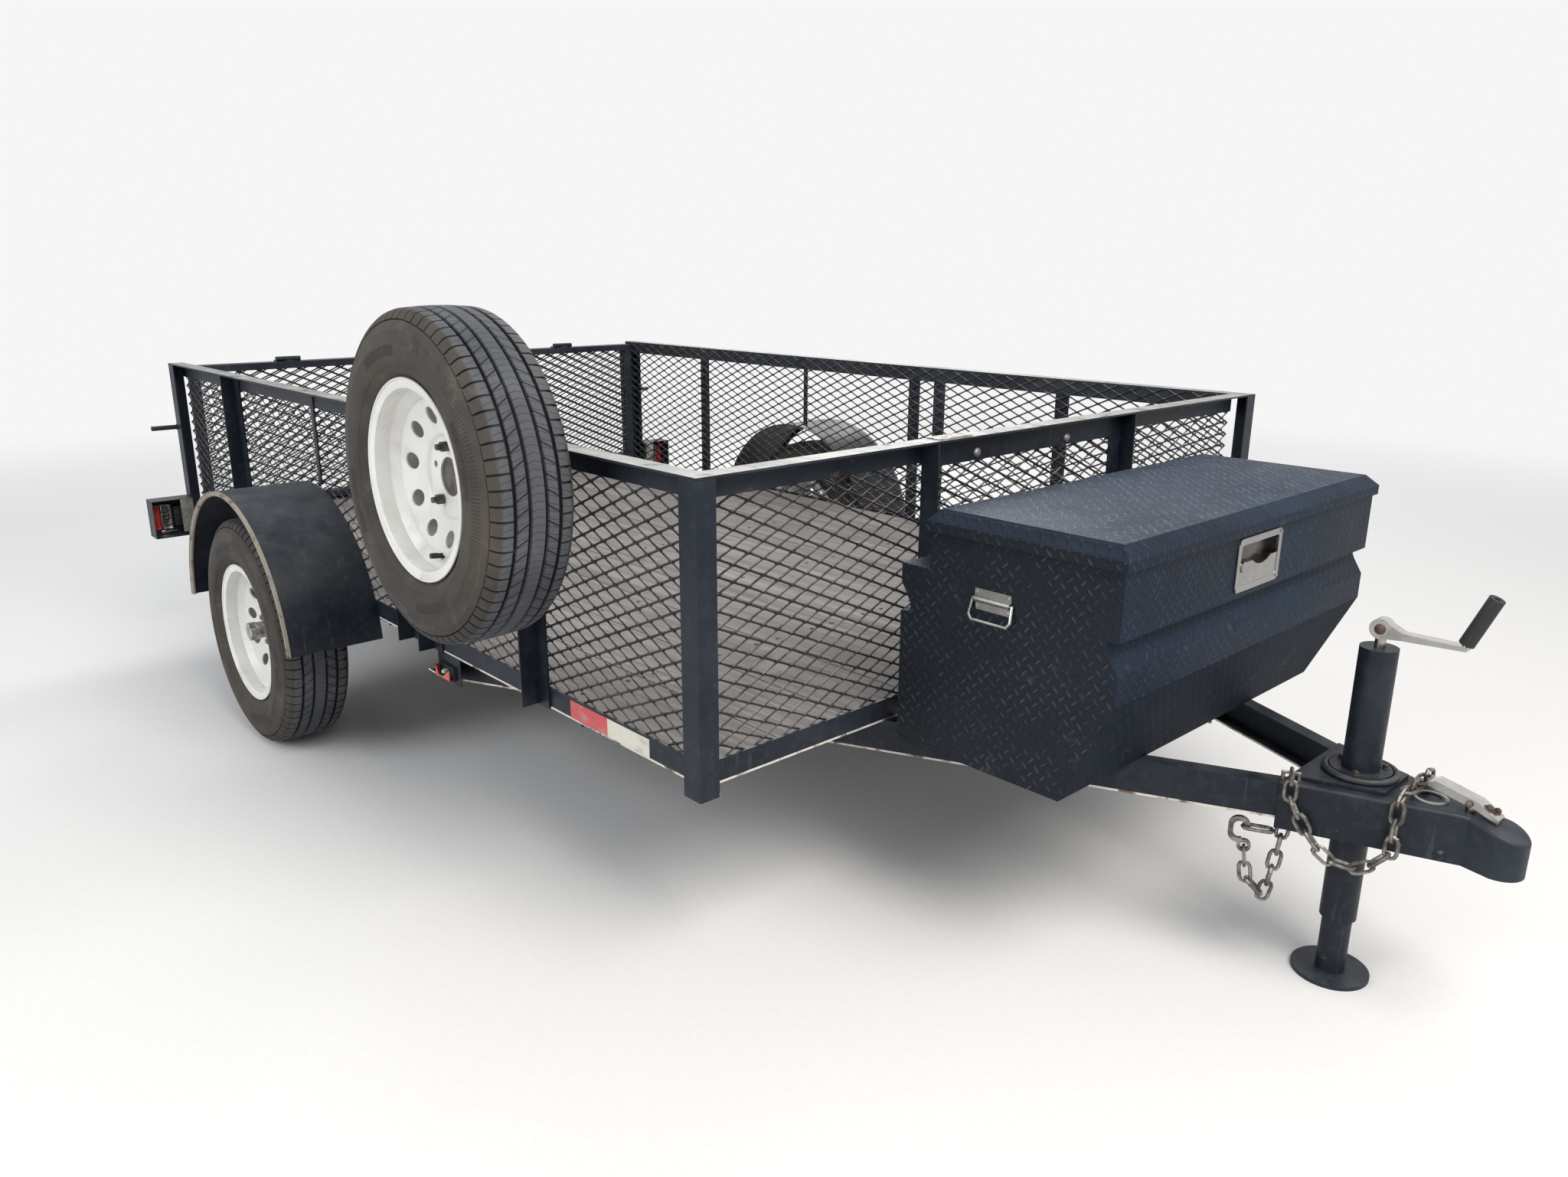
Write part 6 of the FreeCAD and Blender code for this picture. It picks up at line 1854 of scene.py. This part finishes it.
@dataclass
class Fixings:
    """Hexagon bolts, dome rivets and deck screws."""

    zinc: HubSteel = HubSteel("zinc_bolt", (0.46, 0.46, 0.44), (0.15, 0.135, 0.12))
    dark: HubSteel = HubSteel("dark_bolt", (0.10, 0.095, 0.09), (0.045, 0.036, 0.030))
    dome: tuple = ((0.0, 0.0), (0.0, 1.0), (0.28, 0.92), (0.50, 0.66), (0.62, 0.34), (0.66, 0.0))
    strap_bolts: tuple = ((-0.0397, -0.21, 1.010), (-0.0397, 0.14, 1.010))
    strap_radius: float = 0.0115
    beam_nut: tuple = (0.333, 0.2870, 0.3608)
    beam_across: float = 0.016
    stud_long: float = 0.0265
    stud_radius: float = 0.0042
    tab: tuple = ((-0.0480, -0.3750, 1.0560), (-0.0060, -0.2700, 1.0590))
    collar_turns: tuple = (40, 160, 280)
    collar_circle: float = 0.0462
    collar_high: float = 0.4620
    collar_across: float = 0.010
    latch_nuts: tuple = (((1.0140, -0.0070, 0.4575), 0.0105), ((1.0245, 0.0075, 0.4512), 0.0095))
    latch_pin: tuple = ((0.985, 0.0210, 0.460), 0.0062)
    crank_pin: tuple = ((JACK_X, 0.0130, 0.750), 0.0105)
    ring_place: tuple = (0.916, 0, 0.4420)
    ring: tuple = ((0.0, 0.0242), (0.0022, 0.0242), (0.0026, 0.0250), (0.0026, 0.0302), (0.0022, 0.0312),
                   (0.0, 0.0312))
    handle_middle: tuple = (0.268, 0.5350, 0.792)
    handle_rivets: tuple = (0.037, 0.014)
    latch_middle: tuple = (0.5475, -0.030, 0.843)
    latch_rivets: tuple = (0.087, 0.047)
    members: int = 5
    member_step: float = 0.51217
    member_half: float = 0.025
    boards: int = 10
    screw_rows: tuple = (0.035, 0.1585)
    screw_high: float = 0.4790
    screw_radius: float = 0.0065

    def bolt(self, name: str, place: Vector, way: Vector, across: float) -> bpy.types.Object:
        """A hexagon head on a washer.

        Args:
            name: The piece's name.
            place: The middle of its seat.
            way: The way it points.
            across: Its size across the flats.

        Returns:
            The bolt.
        """
        way = Vector(way).normalized()
        thin = across * 0.13
        washer = Bench.bar("washer", place, place + way * thin, across * 0.88, 24)
        head = Bench.bar("head", place + way * thin, place + way * across * 0.72, across * 0.577, 6)
        tip = Bench.bar("tip", place + way * across * 0.5, place + way * across * 0.82, across * 0.24, 12)
        return Bench.soften(Bench.join(name, [washer, head, tip]), across * 0.05, 2)

    def rivet(self, name: str, place: Vector, way: Vector, radius: float) -> bpy.types.Object:
        """A domed rivet head.

        Args:
            name: The piece's name.
            place: The middle of its seat.
            way: The way it points.
            radius: Its radius.

        Returns:
            The rivet.
        """
        way = Vector(way).normalized()
        head = Bench.lathe(name, [(y * radius, r * radius) for y, r in self.dome], Vector((0, 0, 0)), 14)
        turn = Vector((0, 1, 0)).rotation_difference(way).to_matrix().to_4x4()
        head.data.transform(Matrix.Translation(place) @ turn)
        return head

    def frame_bolts(self, finishes: Finishes) -> None:
        """The bolts through the front strap, under the beams and on the jack's collar.

        Args:
            finishes: The trailer's finishes.
        """
        strap = [self.rivet("bolt", at(*spot), Vector((1, 0, 0)), self.strap_radius)
                 for spot in self.strap_bolts]
        beams = []
        for side in Side:
            place = side.at(*self.beam_nut)
            beams.append(self.bolt("nut", place, Vector((0, 0, -1)), self.beam_across))
            tip = place - Vector((0, 0, self.stud_long))
            beams.append(Bench.bar("stud", place, tip, self.stud_radius, 16))
        tab = Bench.block("tab", *(at(*corner) for corner in self.tab))
        beams.append(Bench.soften(tab, 0.0009, 2))
        finishes.piece(Bench.join("frame_bolts", strap + beams), self.zinc)
        collar = []
        for turn in self.collar_turns:
            turn = math.radians(turn)
            offset = Vector((math.cos(turn), math.sin(turn), 0)) * self.collar_circle
            place = at(JACK_X, 0, self.collar_high) + offset
            collar.append(self.bolt("bolt", place, Vector((0, 0, 1)), self.collar_across))
        finishes.piece(Bench.join("collar_bolts", collar), self.dark)

    def coupler_fixings(self, finishes: Finishes) -> None:
        """Rusty nuts on the latch lever and the crank's pin, and the worn ring on the coupler's top.

        Args:
            finishes: The trailer's finishes.
        """
        flap = Vector((0.54, 0, 0.84))
        heads = [self.bolt("nut", at(*place), flap, across) for place, across in self.latch_nuts]
        for place, radius in (self.latch_pin, self.crank_pin):
            heads += [self.rivet("pin", side.at(*place), Vector((0, side.value, 0)), radius) for side in Side]
        rusty = HubSteel("rusty_nut", (0.16, 0.12, 0.09), (0.05, 0.03, 0.022))
        finishes.piece(Bench.join("coupler_fixings", heads), rusty)
        ring = Bench.lathe("coupler_worn_ring", list(self.ring), Vector((0, 0, 0)), 48)
        upright = Matrix.Rotation(math.radians(90), 4, "X")
        ring.data.transform(Matrix.Translation(at(*self.ring_place)) @ upright)
        finishes.piece(ring, HubSteel("worn_ring", (0.52, 0.52, 0.51), (0.26, 0.26, 0.265)))

    def box_rivets(self, finishes: Finishes) -> None:
        """The rivets of the toolbox's handles and latch.

        Args:
            finishes: The trailer's finishes.
        """
        heads = []
        corners = ((-1, -1), (-1, 1), (1, -1), (1, 1))
        for side in Side:
            x, out, z = self.handle_middle
            for u, v in corners:
                place = side.at(x + u * self.handle_rivets[0], out, z + v * self.handle_rivets[1])
                heads.append(self.rivet("rivet", place, Vector((0, side.value, 0)), 0.0030))
        x, y, z = self.latch_middle
        for u, v in corners:
            place = at(x, y + u * self.latch_rivets[0], z + v * self.latch_rivets[1])
            heads.append(self.rivet("rivet", place, Vector((1, 0, 0)), 0.0028))
        finishes.piece(Bench.join("box_rivets", heads), self.zinc)

    def deck_screws(self, finishes: Finishes) -> None:
        """Dark domed screws, two to a board at each cross member.

        Args:
            finishes: The trailer's finishes.
        """
        head = self.rivet("screw", Vector((0, 0, 0)), Vector((0, 0, 1)), self.screw_radius)
        heads = []
        for member in range(1, self.members + 1):
            x = BED_REAR + member * self.member_step + self.member_half
            for board in range(self.boards):
                for row in self.screw_rows:
                    spot = at(x, -BOARD_EDGE + board * BOARD + row, self.screw_high)
                    heads.append(Bench.twin(head, "screw", Matrix.Translation(spot)))
        bpy.data.objects.remove(head)
        finishes.piece(Bench.join("deck_screws", heads), self.dark)

    def build(self, finishes: Finishes) -> None:
        """Fit them all.

        Args:
            finishes: The trailer's finishes.
        """
        self.frame_bolts(finishes)
        self.coupler_fixings(finishes)
        self.box_rivets(finishes)
        self.deck_screws(finishes)


@dataclass
class LoomRing:
    """The ribbed sleeve of the lamp wiring where it lies round the jack's foot."""

    x: float = JACK_X
    seat: float = 0.450
    ring: float = 0.0645
    radius: float = 0.0066

    def build(self, finishes: Finishes) -> None:
        """Lay the ring on the coupler round the collar.

        Args:
            finishes: The trailer's finishes.
        """
        Bench.clear()
        bpy.ops.mesh.primitive_torus_add(major_segments=96, minor_segments=14, major_radius=self.ring,
                                         minor_radius=self.radius,
                                         location=at(self.x, 0, self.seat + self.radius))
        ring = Bench.settle(bpy.context.object)
        ring.name = "loom_ring"
        bpy.ops.object.shade_smooth_by_angle(angle=math.radians(60))
        finishes.piece(ring, RibbedSleeve(BED_FRONT + self.x, CENTRE_Y))


@dataclass
class Markings:
    """Reflective tape on the right bottom rail."""

    face: float = 0.9953
    low: float = 0.4405
    high: float = 0.4825
    lift: float = 0.0004
    red: tuple = (-0.520, -0.376)
    pale: tuple = (-0.376, -0.225)

    def build(self, finishes: Finishes) -> None:
        """Stick the strips on.

        Args:
            finishes: The trailer's finishes.
        """
        for name, (start, end), finish in (("tape_red", self.red, Tape("tape_red", (0.42, 0.03, 0.03))),
                                           ("tape_pale", self.pale, Tape("tape_pale", (0.50, 0.475, 0.40)))):
            strip = Bench.block(name, at(start, -self.face - self.lift, self.low),
                                at(end, -self.face, self.high))
            Bench.soften(strip, 0.0002, 1)
            finishes.piece(strip, finish)


class Trailer:
    """The whole trailer: which finish each solid has, and the fine pieces on it."""

    def __init__(self) -> None:
        """Start with no finishes made."""
        self.finishes = Finishes()
        self.paint = WornPaint()

    def dress(self) -> None:
        """Give every solid of the frame its finish."""
        fender = WornPaint("fender_paint", faded=(0.030, 0.037, 0.048), bare=(0.27, 0.245, 0.20),
                           out_edge=1.2535)
        groups = (
            (self.paint, ("posts", "cross_members", "coupler", "jack_tube", "jack_ram", "axle",
                          "leaf_springs", "spring_mounts", "gate_lower_frame", "gate_upper_frame",
                          "gate_hinges", "gate_latches", "lamp_boxes", "toolbox_hinge", "front_strap")),
            # The bottom rails' and tongue beams' low edges carry a painted highlight drawn as bare steel.
            (WornPaint("rail_paint", low_edge_highlight=0.4415), ("bottom_rails",)),
            (WornPaint("beam_paint", low_edge_highlight=0.3652), ("tongue_beams",)),
            (fender, ("fender_right", "fender_left")),
            (HubSteel("carrier_steel", (0.13, 0.12, 0.11), (0.030, 0.026, 0.024)), ("spare_carrier",)),
            (HighlitTopRail(), ("top_rails",)),
            (WeatheredBoard(), ("deck_planks",)),
            (TreadPlate(), ("toolbox_body", "toolbox_ends", "toolbox_lid")),
            (Chrome(), ("coupler_latch", "jack_crank", "toolbox_handles")),
            # The latch's recess behind its paddle front is painted dark: painted shade.
            (Chrome("latch_chrome", 0.2, BED_FRONT + 0.5440), ("toolbox_latch",)),
            (HubSteel(), ("wheel_right_hub", "wheel_left_hub")),
            (ChainSteel(), ("safety_chains",)),
            (Rubber(), ("jack_grip",)),
        )
        for finish, nodes in groups:
            for node in nodes:
                self.finishes.node(node, finish)

    def build(self) -> None:
        """Dress the frame and add the fine pieces."""
        self.dress()
        ExpandedSheet().build(self.finishes)
        Tyre().build(self.finishes, (("wheel_right_tyre", "wheel_right"), ("wheel_left_tyre", "wheel_left"),
                                     ("spare_tyre", CHASSIS)))
        Rim().build(self.finishes, (("wheel_right_rim", "wheel_right", Side.RIGHT, 140),
                                    ("wheel_left_rim", "wheel_left", Side.LEFT, -60),
                                    ("spare_rim", CHASSIS, Side.RIGHT, 0)))
        HubFace().build(self.finishes)
        MarkerLamp().build(self.finishes)
        TailLamp().build(self.finishes)
        Fixings().build(self.finishes)
        LoomRing().build(self.finishes)
        Markings().build(self.finishes)


def plain_box(box: tuple) -> list:
    """A box's two corners as plain numbers."""
    return [[round(v, 5) for v in corner] for corner in box]


def main() -> None:
    """Build the studio and the trailer and note the sizes."""
    logging.basicConfig(level=logging.INFO, format="%(message)s")
    solid_box = plain_box(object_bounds())
    Studio().build()
    Trailer().build()
    dressed_box = plain_box(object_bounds())
    "\n".join(json.dumps(v) for v in (solid_box, dressed_box)) + "\n"
    LOG.info("solid box %s, dressed box %s", solid_box, dressed_box)


if __name__ == "__main__":
    main()
